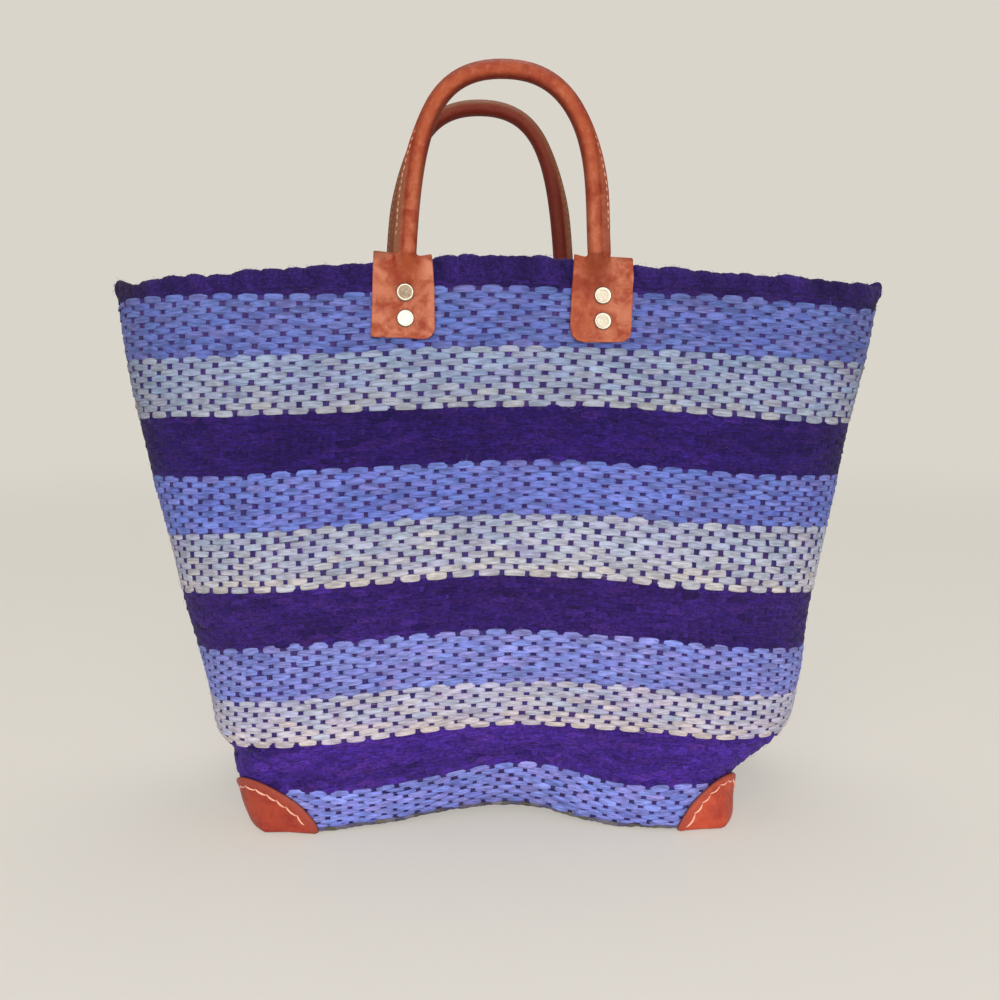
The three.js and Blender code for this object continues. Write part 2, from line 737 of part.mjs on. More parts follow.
addPiece("woven_body", toGeometry(body), weave);
addPiece("rim_binding", skin(bindingRings(), true), darkWeave);
for (const [name, sideX, sideY] of [
  ["front_left", -1, -1],
  ["front_right", 1, -1],
  ["back_left", -1, 1],
  ["back_right", 1, 1],
]) {
  addPiece(`${name}_corner_patch`, cornerPatch(sideX, sideY), cornerLeather);
}

export default bag;
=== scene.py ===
# %% [markdown]
# # A striped woven tote bag
#
# The bag is one open shell of flat sisal strands, woven in blue, grey-lavender and dark purple
# stripes, with a bound rim. It stands on four leather corner patches and is carried by two rolled
# leather handles, whose ends open out into flat tabs that are riveted through the weave.
#
# The CAD model is loaded first as a fixed frame. It says where everything is, and what turns.
# Each soft or visible part of it is then replaced by a piece with the real strands, leather,
# stitches and rivets. Lengths in this script are millimetres until a mesh is made.
#
# Nearly all of it is made from arrays of points. Modifiers could bend and repeat one ready-made
# strand, but then each float would be like the next. Where leather has to melt together, a
# modifier does it.

# %% Load the frame
import math
import bmesh
import bpy
import numpy as np
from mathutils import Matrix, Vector


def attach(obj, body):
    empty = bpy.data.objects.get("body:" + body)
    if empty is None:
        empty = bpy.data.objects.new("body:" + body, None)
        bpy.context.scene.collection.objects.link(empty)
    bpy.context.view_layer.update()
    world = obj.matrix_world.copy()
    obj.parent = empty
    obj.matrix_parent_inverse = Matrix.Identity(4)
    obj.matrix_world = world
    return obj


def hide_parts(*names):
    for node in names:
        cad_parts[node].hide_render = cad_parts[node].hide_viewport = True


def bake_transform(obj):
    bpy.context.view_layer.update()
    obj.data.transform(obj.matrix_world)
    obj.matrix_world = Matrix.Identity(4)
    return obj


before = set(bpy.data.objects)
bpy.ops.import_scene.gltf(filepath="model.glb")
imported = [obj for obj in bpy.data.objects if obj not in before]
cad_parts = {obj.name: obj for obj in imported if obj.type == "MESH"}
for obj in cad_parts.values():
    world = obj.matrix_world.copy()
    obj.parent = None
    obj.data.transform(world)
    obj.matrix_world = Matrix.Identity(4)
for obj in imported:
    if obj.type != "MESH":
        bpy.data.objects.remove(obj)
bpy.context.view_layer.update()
rng = np.random.default_rng(11)  # a fixed seed: every run gives the same bag

# %% [markdown]
# The photograph was taken from in front, a little above the middle of the bag and slightly to its
# left, from about 65 cm away. A camera that close sees the belly larger than the mouth, so the
# distance matters as much as the angle. Moving away and zooming in would frame the bag as well,
# but with the wrong proportions.

# %% Camera
camera_data = bpy.data.cameras.new("camera")
camera_data.lens = 37.15
camera_data.sensor_width = 36
camera = bpy.data.objects.new("camera", camera_data)
camera.location = (-0.018, -0.6498, 0.288)
camera.rotation_euler = (math.radians(81.2), 0, math.radians(-1.5))
bpy.context.scene.collection.objects.link(camera)
bpy.context.scene.camera = camera
print("camera at", tuple(round(v, 3) for v in camera.location), "with a lens of", camera_data.lens)

# %% [markdown]
# A few short helpers keep the rest readable. The first ones are plain sums: a soft step, a
# direction of length one, a share of the way, the distance travelled along a line, and a colour.

# %% Small sums
def smooth(t):
    t = np.clip(t, 0, 1)
    return t * t * (3 - 2 * t)


def unit(v):
    return v / np.maximum(np.linalg.norm(v, axis=-1, keepdims=True), 1e-12)


def between(a, b, share):
    return a + (b - a) * share


def travelled(line):
    """Distance from the start of a line of points to each of them."""
    return np.concatenate([[0], np.cumsum(np.linalg.norm(np.diff(line, axis=0), axis=1))])


def srgb(*levels):
    """The linear colour of an sRGB colour given in levels from 0 to 255."""
    c = np.asarray(levels, dtype=float) / 255
    return np.where(c <= 0.04045, c / 12.92, ((c + 0.055) / 1.055) ** 2.4)


print("half way up a soft step:", smooth(0.5), "- middle grey in linear light:", srgb(128).round(3))

# %% [markdown]
# The next ones make meshes. A mesh could be built face by face in bmesh, but the weave has over a
# million faces, and arrays are hundreds of times faster. Every mesh is written in metres, from
# points in millimetres.

# %% Meshes from arrays
def make_mesh(name, points, faces, material=None):
    """A smooth object from an array of points in millimetres and a list or array of faces."""
    mesh = bpy.data.meshes.new(name)
    points = np.asarray(points, dtype=np.float32) / 1000
    if isinstance(faces, np.ndarray):
        count, sides = faces.shape
        mesh.vertices.add(len(points))
        mesh.vertices.foreach_set("co", points.ravel())
        mesh.loops.add(count * sides)
        mesh.loops.foreach_set("vertex_index", faces.astype(np.int32).ravel())
        mesh.polygons.add(count)
        mesh.polygons.foreach_set("loop_start", np.arange(0, count * sides, sides, dtype=np.int32))
        mesh.update(calc_edges=True)
    else:
        mesh.from_pydata(points.tolist(), [], faces)
    mesh.validate()
    mesh.polygons.foreach_set("use_smooth", [True] * len(mesh.polygons))
    obj = bpy.data.objects.new(name, mesh)
    bpy.context.scene.collection.objects.link(obj)
    if material:
        mesh.materials.append(material)
    return obj


def grid_faces(rows, cols, close_rows=False, close_cols=False):
    """Quads over a grid of rows x cols points, closed round in either direction if asked."""
    r = np.arange(rows if close_rows else rows - 1)
    c = np.arange(cols if close_cols else cols - 1)
    r, c = np.meshgrid(r, c, indexing="ij")
    r2, c2 = (r + 1) % rows, (c + 1) % cols
    quads = np.stack([r * cols + c, r * cols + c2, r2 * cols + c2, r2 * cols + c], -1)
    return quads.reshape(-1, 4)


def tube_faces(rings, sides, first=0):
    """Faces of a tube of rings, with a flat cap on each end; its points start at first."""
    quads = grid_faces(rings, sides, close_cols=True)
    faces = [tuple(int(i) + first for i in quad) for quad in quads]
    faces.append(tuple(range(first + sides - 1, first - 1, -1)))
    faces.append(tuple(range(first + (rings - 1) * sides, first + rings * sides)))
    return faces


def circle(one, other, sides):
    """Directions all the way round a line, from two that stand square to it and to each other."""
    a = 2 * np.pi * np.arange(sides) / sides
    return np.cos(a)[:, None] * one[..., None, :] + np.sin(a)[:, None] * other[..., None, :]


def point_attribute(obj, name, kind, values):
    data = obj.data.attributes.new(name, kind, "POINT").data
    key = {"FLOAT": "value", "FLOAT_VECTOR": "vector", "FLOAT_COLOR": "color"}[kind]
    data.foreach_set(key, np.asarray(values, dtype=np.float32).ravel())


def coordinates(obj):
    """The object's points in millimetres."""
    co = np.empty(len(obj.data.vertices) * 3, np.float32)
    obj.data.vertices.foreach_get("co", co)
    return co.reshape(-1, 3).astype(float) * 1000


print("a closed tube of 3 rings of 4 points has", len(tube_faces(3, 4)), "faces")

# %% [markdown]
# The last helper wires up a material. Nodes could be placed and linked one by one, as in the
# shader editor, but most finishes here are the same few steps: noise at some scale, turned into a
# share, that mixes two colours or raises the surface.

# %% Shader helpers
class Shader:
    """A material's node tree, with one method per step that the finishes below share."""

    def __init__(self, name):
        self.material = bpy.data.materials.new(name)
        self.material.use_nodes = True
        self.nodes = self.material.node_tree.nodes
        self.links = self.material.node_tree.links
        self.bsdf = self.nodes["Principled BSDF"]

    def add(self, kind, settings=None, **inputs):
        node = self.nodes.new(kind)
        for key, value in (settings or {}).items():
            setattr(node, key, value)
        for key, value in inputs.items():
            self.put(node.inputs[key.replace("_", " ")], value)
        return node

    def put(self, socket, value):
        if isinstance(value, bpy.types.NodeSocket):
            self.links.new(value, socket)
        else:
            socket.default_value = value

    def attribute(self, name, output="Color"):
        return self.add("ShaderNodeAttribute", {"attribute_name": name}).outputs[output]

    def here(self):
        """Position on the object in millimetres."""
        place = self.add("ShaderNodeTexCoord").outputs["Object"]
        return self.stretch(place, (1000, 1000, 1000))

    def stretch(self, vector, scale):
        node = self.add("ShaderNodeVectorMath", {"operation": "MULTIPLY"})
        self.put(node.inputs[0], vector)
        node.inputs[1].default_value = scale
        return node.outputs[0]

    def noise(self, vector, scale=1.0, detail=3.0, roughness=0.55, distortion=0.0):
        return self.add(
            "ShaderNodeTexNoise", Vector=vector, Scale=scale, Detail=detail, Roughness=roughness,
            Distortion=distortion,
        ).outputs["Fac"]

    def remap(self, value, low, high, to_low=0.0, to_high=1.0):
        """A soft step from one range of values to another."""
        node = self.add("ShaderNodeMapRange", {"interpolation_type": "SMOOTHSTEP"}, Value=value)
        node.inputs["From Min"].default_value = low
        node.inputs["From Max"].default_value = high
        node.inputs["To Min"].default_value = to_low
        node.inputs["To Max"].default_value = to_high
        return node.outputs[0]

    def math(self, operation, a, b):
        node = self.add("ShaderNodeMath", {"operation": operation})
        self.put(node.inputs[0], a)
        self.put(node.inputs[1], b)
        return node.outputs[0]

    def mix(self, a, b, share):
        node = self.add("ShaderNodeMix", {"data_type": "RGBA"})
        self.put(node.inputs[0], share)
        for socket, colour in ((node.inputs[6], a), (node.inputs[7], b)):
            if not isinstance(colour, bpy.types.NodeSocket):
                colour = (*colour, 1)
            self.put(socket, colour)
        return node.outputs[2]

    def bump(self, height, depth, under=None):
        """Relief of the given depth in millimetres."""
        node = self.add("ShaderNodeBump", Height=height, Distance=depth / 1000)
        if under is not None:
            self.put(node.inputs["Normal"], under)
        return node.outputs[0]

    def finish(self, colour, roughness, normal=None, **fixed):
        """Wire up the surface; what is the same all over it is set on the shader itself."""
        self.put(self.bsdf.inputs["Base Color"], colour)
        self.put(self.bsdf.inputs["Roughness"], roughness)
        if normal is not None:
            self.put(self.bsdf.inputs["Normal"], normal)
        for key, value in fixed.items():
            self.bsdf.inputs[key.replace("_", " ")].default_value = value
        return self.material


print("steps a shader can take:", [name for name in vars(Shader) if not name.startswith("_")])

# %% [markdown]
# The stage is only a pale floor. Far from the bag it takes the colour of the background, so that
# no horizon shows. A curved sweep of paper would hide the horizon too, but it would also shade the
# bag. The floor's own light is kept off the bag: only the camera and reflections see it.

# %% Floor
BACKGROUND = srgb(218, 213, 203)
FLOOR_REACH, FLOOR_DROP = 9000, 0.2  # the floor lies a hair below the foot of the bag
FADE_START, FADE_END = 350, 2200  # how far from the bag the floor turns into background
floor_shader = Shader("pale_floor")
grain = floor_shader.noise(floor_shader.here(), scale=0.02)
floor_material = floor_shader.finish(
    floor_shader.mix(srgb(237, 232, 226), srgb(241, 236, 230), grain), 0.6, Specular_IOR_Level=0.2)
far_off = floor_shader.add("ShaderNodeVectorMath", {"operation": "LENGTH"})
floor_shader.put(far_off.inputs[0], floor_shader.here())
rays = floor_shader.add("ShaderNodeLightPath").outputs
mirrored = floor_shader.math("MAXIMUM", rays["Is Glossy Ray"], rays["Is Transmission Ray"])
seen = floor_shader.math("MAXIMUM", rays["Is Camera Ray"], mirrored)
share = floor_shader.remap(far_off.outputs["Value"], FADE_START, FADE_END, 0.58, 1)
backdrop = floor_shader.add("ShaderNodeEmission", Color=(*BACKGROUND, 1))
both = floor_shader.add("ShaderNodeMixShader", Fac=floor_shader.math("MULTIPLY", seen, share))
floor_shader.put(both.inputs[1], floor_shader.bsdf.outputs[0])
floor_shader.put(both.inputs[2], backdrop.outputs[0])
floor_shader.put(floor_shader.nodes["Material Output"].inputs["Surface"], both.outputs[0])
corners = [(x * FLOOR_REACH, y * FLOOR_REACH, -FLOOR_DROP)
           for x, y in ((-1, -1), (1, -1), (1, 1), (-1, 1))]
floor = make_mesh("floor", corners, [(0, 1, 2, 3)], floor_material)
print("floor of", 2 * FLOOR_REACH / 1000, "m")

# %% [markdown]
# The world gives even light from all round, and looks like the background. Those are two different
# strengths: what the camera sees is pale, and what lights the bag is much weaker, because too much
# even light washes the colours out.

# %% World
world = bpy.data.worlds.new("studio")
world.use_nodes = True
air = world.node_tree
sky = air.nodes["Background"]
sky.inputs["Color"].default_value = (*srgb(232, 229, 222), 1)
sky.inputs["Strength"].default_value = 0.42
shown = air.nodes.new("ShaderNodeBackground")
shown.inputs["Color"].default_value = (*BACKGROUND, 1)
rays = air.nodes.new("ShaderNodeLightPath").outputs
seen = rays["Is Camera Ray"]
for kind in ("Is Glossy Ray", "Is Transmission Ray"):
    either = air.nodes.new("ShaderNodeMath")
    either.operation = "MAXIMUM"
    air.links.new(seen, either.inputs[0])
    air.links.new(rays[kind], either.inputs[1])
    seen = either.outputs[0]
choice = air.nodes.new("ShaderNodeMixShader")
air.links.new(seen, choice.inputs[0])
air.links.new(sky.outputs[0], choice.inputs[1])
air.links.new(shown.outputs[0], choice.inputs[2])
air.links.new(choice.outputs[0], air.nodes["World Output"].inputs["Surface"])
bpy.context.scene.world = world
bpy.context.scene.view_settings.view_transform = "Standard"
print("even light at", round(sky.inputs["Strength"].default_value, 2))

# %% [markdown]
# One large lamp stands for a window behind the camera, a second lights the foot of the bag, and a
# third, above and behind, draws the edge of the rim and handles. They are wide discs, because
# small lamps would give hard shadows in the weave.

# %% Lamps
def lamp(name, place, aim, size, power, colour=(1, 1, 1)):
    data = bpy.data.lights.new(name, "AREA")
    data.shape = "DISK"
    data.size = size
    data.energy = power
    data.color = colour
    obj = bpy.data.objects.new(name, data)
    obj.location = place
    obj.rotation_euler = (Vector(aim) - Vector(place)).to_track_quat("-Z", "Y").to_euler()
    bpy.context.scene.collection.objects.link(obj)
    print(name, "lamp of", power, "W")


lamp("window", (-0.45, -1.9, 1.25), (0, 0, 0.2), 2.0, 17, (1, 0.98, 0.95))
lamp("foot", (0.3, -1.9, 0.6), (0, 0, 0.1), 1.6, 22, (1, 0.98, 0.96))
lamp("above", (0.1, 0.4, 1.9), (0, 0, 0.3), 1.2, 11)


# %% [markdown]
# ## The shape of the body
#
# The body is described by its cross-sections, from the base edge to the rim. Each is a rounded
# rectangle (a superellipse) whose ends hang lower than its middle. Low down the middle of each
# face is pushed in, because a soft bag that stands on its corners sinks there. A smooth curve
# through these sections gives the wall at any height. A cage under a subdivision surface could be
# pulled into the same form, but these are the CAD model's own numbers, so the two agree.

# %% Cross-sections of the body
RIM_HEIGHT, BELLY_HEIGHT, BASE_RISE = 335.0, 93.0, 10.3
MOUTH_WIDTH, BELLY_WIDTH, BASE_WIDTH = 473.0, 371.0, 294.0
MOUTH_DEPTH, BELLY_DEPTH, BASE_DEPTH = 100.0, 164.0, 152.0
BASE_LIFT, BASE_DENT = 8.0, 18.0
WEAVE_THICKNESS = 4.0
WEAVE_TOP = RIM_HEIGHT - 3.2


def lower(rise, width, depth, *shape):
    """A section between base and belly: how far on the way its height, width and depth are."""
    return (between(BASE_RISE, BELLY_HEIGHT, rise), between(BASE_WIDTH, BELLY_WIDTH, width),
            between(BASE_DEPTH, BELLY_DEPTH, depth), *shape)


def upper(rise, width, depth, *shape):
    """The same between belly and mouth."""
    return (between(BELLY_HEIGHT, RIM_HEIGHT, rise), between(BELLY_WIDTH, MOUTH_WIDTH, width),
            between(BELLY_DEPTH, MOUTH_DEPTH, depth), *shape)


SECTIONS = np.array([  # rise, width, depth, square, droop of the ends, peak of that arch, dent, lean
    lower(0.0, 0.0, 0.0, 8.0, BASE_LIFT, 3.0, BASE_DENT, -7),
    lower(0.17, 0.09, 0.5, 6.5, 10, 2.7, BASE_DENT * 0.67, -8.5),
    lower(0.36, 0.23, 0.83, 5.2, 13, 2.4, BASE_DENT * 0.33, -7),
    lower(0.77, 0.86, 1.0, 3.7, 20, 1.8, 0, 1),
    upper(0.0, 0.0, 0.0, 3.3, 22, 1.5, 0, 2),
    upper(0.25, 0.28, 0.16, 2.6, 22.5, 1.2, 0, -1),
    upper(0.65, 0.72, 0.59, 2.3, 14.5, 1.0, 0, -2),
    upper(1.0, 1.0, 1.0, 2.2, 12, 1.0, 0, 0),
])
BASE_LEAN = SECTIONS[0, 7]
SECTION_RISES = SECTIONS[:, 0]
STEPS = np.diff(SECTION_RISES)
SLOPES = np.diff(SECTIONS[:, 1:], axis=0) / STEPS[:, None]
inner_slopes = (SLOPES[:-1] * STEPS[1:, None] + SLOPES[1:] * STEPS[:-1, None]) / (
    STEPS[:-1] + STEPS[1:])[:, None]
TANGENTS = np.vstack([SLOPES[:1], inner_slopes, SLOPES[-1:]])
print(len(SECTIONS), "sections, from", SECTION_RISES[0], "to", SECTION_RISES[-1], "mm")


# %% Any point of the face
def section(rise):
    """Width, depth, square, droop, peak, dent and lean of the body at any rise."""
    r = np.clip(np.asarray(rise, float), SECTION_RISES[0], SECTION_RISES[-1])
    i = np.clip(np.searchsorted(SECTION_RISES, r) - 1, 0, len(SECTIONS) - 2)
    h = STEPS[i][..., None]
    t = (r[..., None] - SECTION_RISES[i][..., None]) / h
    return (
        (2 * t**3 - 3 * t**2 + 1) * SECTIONS[i, 1:] + (t**3 - 2 * t**2 + t) * TANGENTS[i] * h
        + (3 * t**2 - 2 * t**3) * SECTIONS[i + 1, 1:] + (t**3 - t**2) * TANGENTS[i + 1] * h
    )


def face(rise, angle):
    """Outer face of the body at a rise and a polar angle."""
    width, depth, square, droop, peak, dent, lean = np.moveaxis(section(rise), -1, 0)
    c, s = np.cos(angle), np.sin(angle)
    reach = (np.abs(c) ** square + np.abs(s) ** square) ** (-1 / square)
    ux, uy = reach * c, reach * s
    middle = np.maximum(0, 1 - ux * ux)
    return np.stack([
        lean + ux * width / 2,
        uy * depth / 2 - np.sign(uy) * dent * middle**3,
        np.clip(rise, BASE_RISE, RIM_HEIGHT) - droop * (1 - middle**peak),
    ], -1)


print("front of the belly:", face(BELLY_HEIGHT, -np.pi / 2).round(1))

# %% [markdown]
# Strands run round the body, so a place on the wall is given by its rise and by its share of the
# way round, from the right-hand end towards the back. Solving the sections for each point of a
# strand would be slow, so the wall is tabulated once on a fine grid and read from it afterwards.

# %% The wall as a table
ROUND = 1440
RISE_STEP = 1.5
TABLE_RISES = np.arange(BASE_RISE, RIM_HEIGHT + RISE_STEP, RISE_STEP)
TABLE_RISES[-1] = RIM_HEIGHT
ROUND_SHARES = np.arange(ROUND) / ROUND


def angles_by_length(rise):
    """Polar angles that divide a section into equal lengths, and its whole length."""
    turn = np.linspace(0, 2 * np.pi, 4 * 360 + 1)
    lengths = travelled(face(np.full_like(turn, rise), turn)[:, :2])
    return np.interp(ROUND_SHARES, lengths / lengths[-1], turn), lengths[-1]


def wall_normals(points):
    along = np.roll(points, -1, 1) - np.roll(points, 1, 1)
    up = np.gradient(points, axis=0)
    return unit(np.cross(along, up))


levels = [angles_by_length(rise) for rise in TABLE_RISES]
WALL = np.array([face(np.full(ROUND, rise), angle) for rise, (angle, _) in zip(TABLE_RISES, levels)])
PERIMETERS = np.array([length for _, length in levels])
print("wall table", WALL.shape, "perimeters", PERIMETERS[[0, 60, -1]].round(1))

# %% [markdown]
# A hand-woven bag is never quite even. Shallow hollows of about a millimetre are added, which fade
# out under the leather. The foot sags between the corner patches, and the two ends are folded
# where the wall turns in to the base. All this could be done by hand in sculpt mode; as numbers,
# each sag can be checked against the photograph and changed alone.

# %% Hollows, sags and folds of the wall
HOLLOW_DEPTH = 0.42
TAB_ZONE, PATCH_ZONE = (112, 262), 60  # where the leather needs a calm wall: half width, rise
FOOT_SAG = np.array([  # x, and how far the foot of the wall sags there below an even arch
    (-125, 0), (-115, 1.6), (-90, 1.2), (-62, 2.2), (-45, 1.6), (-25, 1.0), (-10, 0.4), (8, 0),
    (25, 0.5), (43, 2.6), (62, 3.2), (88, 3.2), (105, 2.6), (125, 0)]).T
FOLDS = [  # end (1 is the right one), rise, half its height, where it starts, how far to the left
    (1, 28, 12, 110, 4.0), (1, 76, 5, 175, 2.2), (-1, 30, 6, 110, 1.9), (-1, 43, 5, 130, -3.2)]


def hollows(x, z, front):
    """Uneven tension of the weave: how far the wall stands in or out."""
    waves = [(61, 83, 0.4), (97, 57, 2.1), (143, 120, 4.4), (44, 150, 1.2), (210, 71, 5.2)]
    total = 0
    for k, (along, up, phase) in enumerate(waves):
        total = total + np.sin(x * 2 * np.pi / along / 1.6 + phase + 2.2 * front) * np.cos(
            z * 2 * np.pi / up / 1.5 + 1.7 * phase + k)
    return HOLLOW_DEPTH * total


near_tabs = smooth((WALL[..., 2] - TAB_ZONE[1]) / 25) * smooth((TAB_ZONE[0] - np.abs(WALL[..., 0])) / 25)
near_patches = smooth((PATCH_ZONE - WALL[..., 2]) / 20)
calm = np.clip(1 - near_tabs - near_patches, 0, 1) * smooth((RIM_HEIGHT - WALL[..., 2]) / 40)
hollow = calm * hollows(WALL[..., 0], WALL[..., 2], WALL[..., 1] < 0)
WALL = WALL + wall_normals(WALL) * hollow[..., None]
front_sign = np.where(WALL[..., 1] < 0, 1, -1)
near_foot = 1 - smooth((TABLE_RISES - BASE_RISE)[:, None] / 28)
sag = np.interp(WALL[..., 0] * front_sign, *FOOT_SAG) * near_foot
WALL[..., 2] = np.maximum(WALL[..., 2] - sag, 2.6)
WALL[..., 1] -= 1.3 * sag * front_sign
shift = 0
for end, rise, height, start, amount in FOLDS:
    fold = np.exp(-((WALL[..., 2] - rise) / height) ** 2) * smooth((end * WALL[..., 0] - start) / 25)
    shift = shift + amount * fold
WALL[..., 0] -= shift
WALL_OUT = wall_normals(WALL)
print("hollows up to", np.abs(hollow).max().round(2), "mm, sags up to", sag.max().round(2), "mm")


# %% Reading the wall
def on_wall(rise, share, out=0.0, want_normal=False):
    """A point of the wall at a rise and a share of the way round, moved outwards by out."""
    rise, share, out = np.broadcast_arrays(np.asarray(rise, float), share, out)
    r = np.clip((rise - BASE_RISE) / RISE_STEP, 0, len(TABLE_RISES) - 1.001)
    s = (np.asarray(share) % 1) * ROUND
    i, j = r.astype(int), s.astype(int) % ROUND
    fr, fs = (r - i)[..., None], (s - np.floor(s))[..., None]
    k = (j + 1) % ROUND

    def read(table):
        return (table[i, j] * (1 - fr) * (1 - fs) + table[i, k] * (1 - fr) * fs
                + table[i + 1, j] * fr * (1 - fs) + table[i + 1, k] * fr * fs)

    normal = unit(read(WALL_OUT))
    point = read(WALL) + normal * out[..., None]
    return (point, normal) if want_normal else point


print("right-hand end of the rim:", on_wall(RIM_HEIGHT, 0.0).round(1))

# %% [markdown]
# ## Stripes and rows
#
# Ten or so rows make each stripe. The lines between stripes aren't level: they wander by a few
# millimetres, and the lowest one dips to each side of the middle. Their heights were read off the
# front of the real bag; the back gets the same wander mirrored, since it can't be seen. Stripes
# could be painted on one cloth by height, but then a row would change colour halfway along.

# %% Stripe boundaries
BOUNDARIES = [  # x and rise along the front, from the rim down
    [(-221, 323.3), (-176, 321.3), (-128, 317.4), (-82, 315.8), (-14, 319.2), (78, 316.5),
     (220, 317.6)],
    [(-225, 289.0), (-176, 286.0), (-105, 283.4), (-37, 284.5), (9, 285.3), (60, 283.8),
     (220, 286.0)],
    [(-204, 254.6), (-152, 251.1), (-82, 249.9), (9, 250.9), (54, 251.7), (150, 249.4),
     (205, 250.6)],
    [(-207, 222.0), (-153, 218.6), (-60, 218.9), (31, 220.9), (150, 218.3), (212, 221.9)],
    [(-180, 190.0), (-129, 187.3), (-60, 188.4), (8, 191.2), (101, 189.9), (178, 192.2)],
    [(-182, 158.0), (-130, 154.6), (-60, 153.8), (-14, 155.9), (101, 153.6), (180, 155.7)],
    [(-188, 125.0), (-130, 125.2), (-83, 123.1), (-14, 124.8), (77, 123.2), (188, 123.3)],
    [(-156, 96.0), (-107, 93.6), (-60, 93.8), (8, 94.5), (126, 95.3), (152, 96.8)],
    [(-131, 68.5), (-61, 65.6), (8, 68.6), (78, 68.9), (153, 71.0)],
    [(-150, 29.0), (-143, 31.0), (-136, 37.5), (-128, 40.0), (-108, 35.8), (-85, 33.0),
     (-62, 33.1), (-38, 35.2), (-15, 40.7), (9, 44.0), (32, 41.6), (56, 36.7), (79, 35.3),
     (103, 38.4), (124, 40.5), (134, 36.0), (142, 31.0), (150, 29.0)],
]
ROWS = [4, 10, 10, 10, 10, 10, 10, 10, 9, 9, 9]
COLOURS = ["purple"] + ["blue", "grey", "purple"] * 3 + ["blue"]
BAND_TOP, BAND_FOOT = WEAVE_TOP - 4.5, BASE_RISE + 0.6


def boundary(index, share):
    """Rise of a stripe boundary, where 0 is the rim and the last is the base edge."""
    share = np.asarray(share, float)
    if index == 0:
        return np.full(share.shape, BAND_TOP)
    if index == len(BOUNDARIES) + 1:
        return np.full(share.shape, BAND_FOOT)
    x, rise = np.array(BOUNDARIES[index - 1]).T
    p = on_wall(rise.mean(), ROUND_SHARES)
    wander = np.interp(np.where(p[:, 1] < 0, p[:, 0], -p[:, 0]), x, rise)
    soft = np.exp(-0.5 * (np.arange(-60, 61) / 14) ** 2)
    wander = np.convolve(np.pad(wander, 60, "wrap"), soft / soft.sum(), "valid")
    return np.interp(share % 1, np.append(ROUND_SHARES, 1), np.append(wander, wander[0]))


print(len(ROWS), "stripes, rows in all:", sum(ROWS))

# %% [markdown]
# The weave is a plain one. 128 stiff warps stand round the body, far apart, and each soft weft row
# passes in front of one warp and behind the next. The next row does the opposite. The wefts are
# pushed together until they cover nearly everything, so a warp shows only as a small dark window
# where a row goes behind it. The warps lean, as they do on a bag woven in the round.
#
# A bump map could fake all this on a smooth wall, but it would fail at the outline and close up.
# So each row is built as one closed strand: its path moves in and out of the wall, and its section
# is a flat lens that is wide in front of a warp and narrow behind one.

# %% Columns and strands
WARPS = 128
LEAN_PER_RISE = 0.15  # how far a warp leans along the wall for each millimetre that it climbs
LENS = np.array([
    (1, 0.15), (0.82, 0.82), (0, 1), (-0.82, 0.82), (-1, 0.15), (-0.75, -0.6), (0, -0.8), (0.75, -0.6)])


def column(number, rise):
    """Share of the way round of a warp, at a rise."""
    length = np.interp(rise, TABLE_RISES, PERIMETERS)
    return (number + 0.5) / WARPS - LEAN_PER_RISE * (RIM_HEIGHT - rise) / length


def strands(paths, outs, half_width, half_thick, closed, lens=LENS):
    """Points and faces of strands that lie on the wall.
    paths and outs are (strands, samples, 3); the section is a lens across the path."""
    step = np.roll(paths, -1, 1) - np.roll(paths, 1, 1) if closed else np.gradient(paths, axis=1)
    along = unit(step)
    across = unit(np.cross(outs, along))
    up = unit(np.cross(along, across))
    offset = (across[:, :, None] * (half_width[..., None] * lens[:, 0])[..., None]
              + up[:, :, None] * (half_thick[..., None] * lens[:, 1])[..., None])
    points = paths[:, :, None] + offset
    count, samples, sides = points.shape[:3]
    one = grid_faces(samples, sides, close_rows=closed, close_cols=True)
    faces = (one[None] + (np.arange(count) * samples * sides)[:, None, None]).reshape(-1, 4)
    return points.reshape(-1, 3), faces


print("windows are", round(PERIMETERS[-1] / WARPS, 2), "mm apart at the rim")

# %% [markdown]
# To carry these materials to another program, their colours are baked into a picture, and each
# face needs a place of its own in it. An automatic unwrap of so many strands would take minutes
# and waste most of the picture. A strand is a long strip, so it is cut in lanes, stacked up.

# %% A flat layout for baking
def lane_uv(obj, count, samples, sides, lanes, closed):
    """Lay out the strands flat: each is cut in lanes that are stacked up."""
    quads = samples if closed else samples - 1
    strand, i, k = np.meshgrid(np.arange(count), np.arange(quads), np.arange(sides), indexing="ij")
    per_lane = -(-quads // lanes)
    lane = strand * lanes + i // per_lane
    u0, u1 = (i % per_lane) / per_lane, (i % per_lane + 1) / per_lane
    v0, v1 = 0.04 + 0.92 * k / sides, 0.04 + 0.92 * (k + 1) / sides
    total = count * lanes
    corners = np.stack([u0, (lane + v0) / total, u0, (lane + v1) / total,
                        u1, (lane + v1) / total, u1, (lane + v0) / total], -1)
    layer = obj.data.uv_layers.new(name="OFBake")
    layer.data.foreach_set("uv", corners.astype(np.float32).ravel())


print("a stripe of 10 rows in 4 lanes each fills", 10 * 4, "lanes of the picture")


# %% [markdown]
# ### Sisal strands
#
# Each strand is a flat bundle of long fibres, dyed by hand. So the colour changes from one float
# to the next, and fine streaks run along the strand, lighter where fibres stand up. The surface is
# matt, with a soft bloom from loose fibres; the purple is felted, with fibres that lie level. A
# picture of sisal would repeat and blur. Noise along the strand's own length does neither.

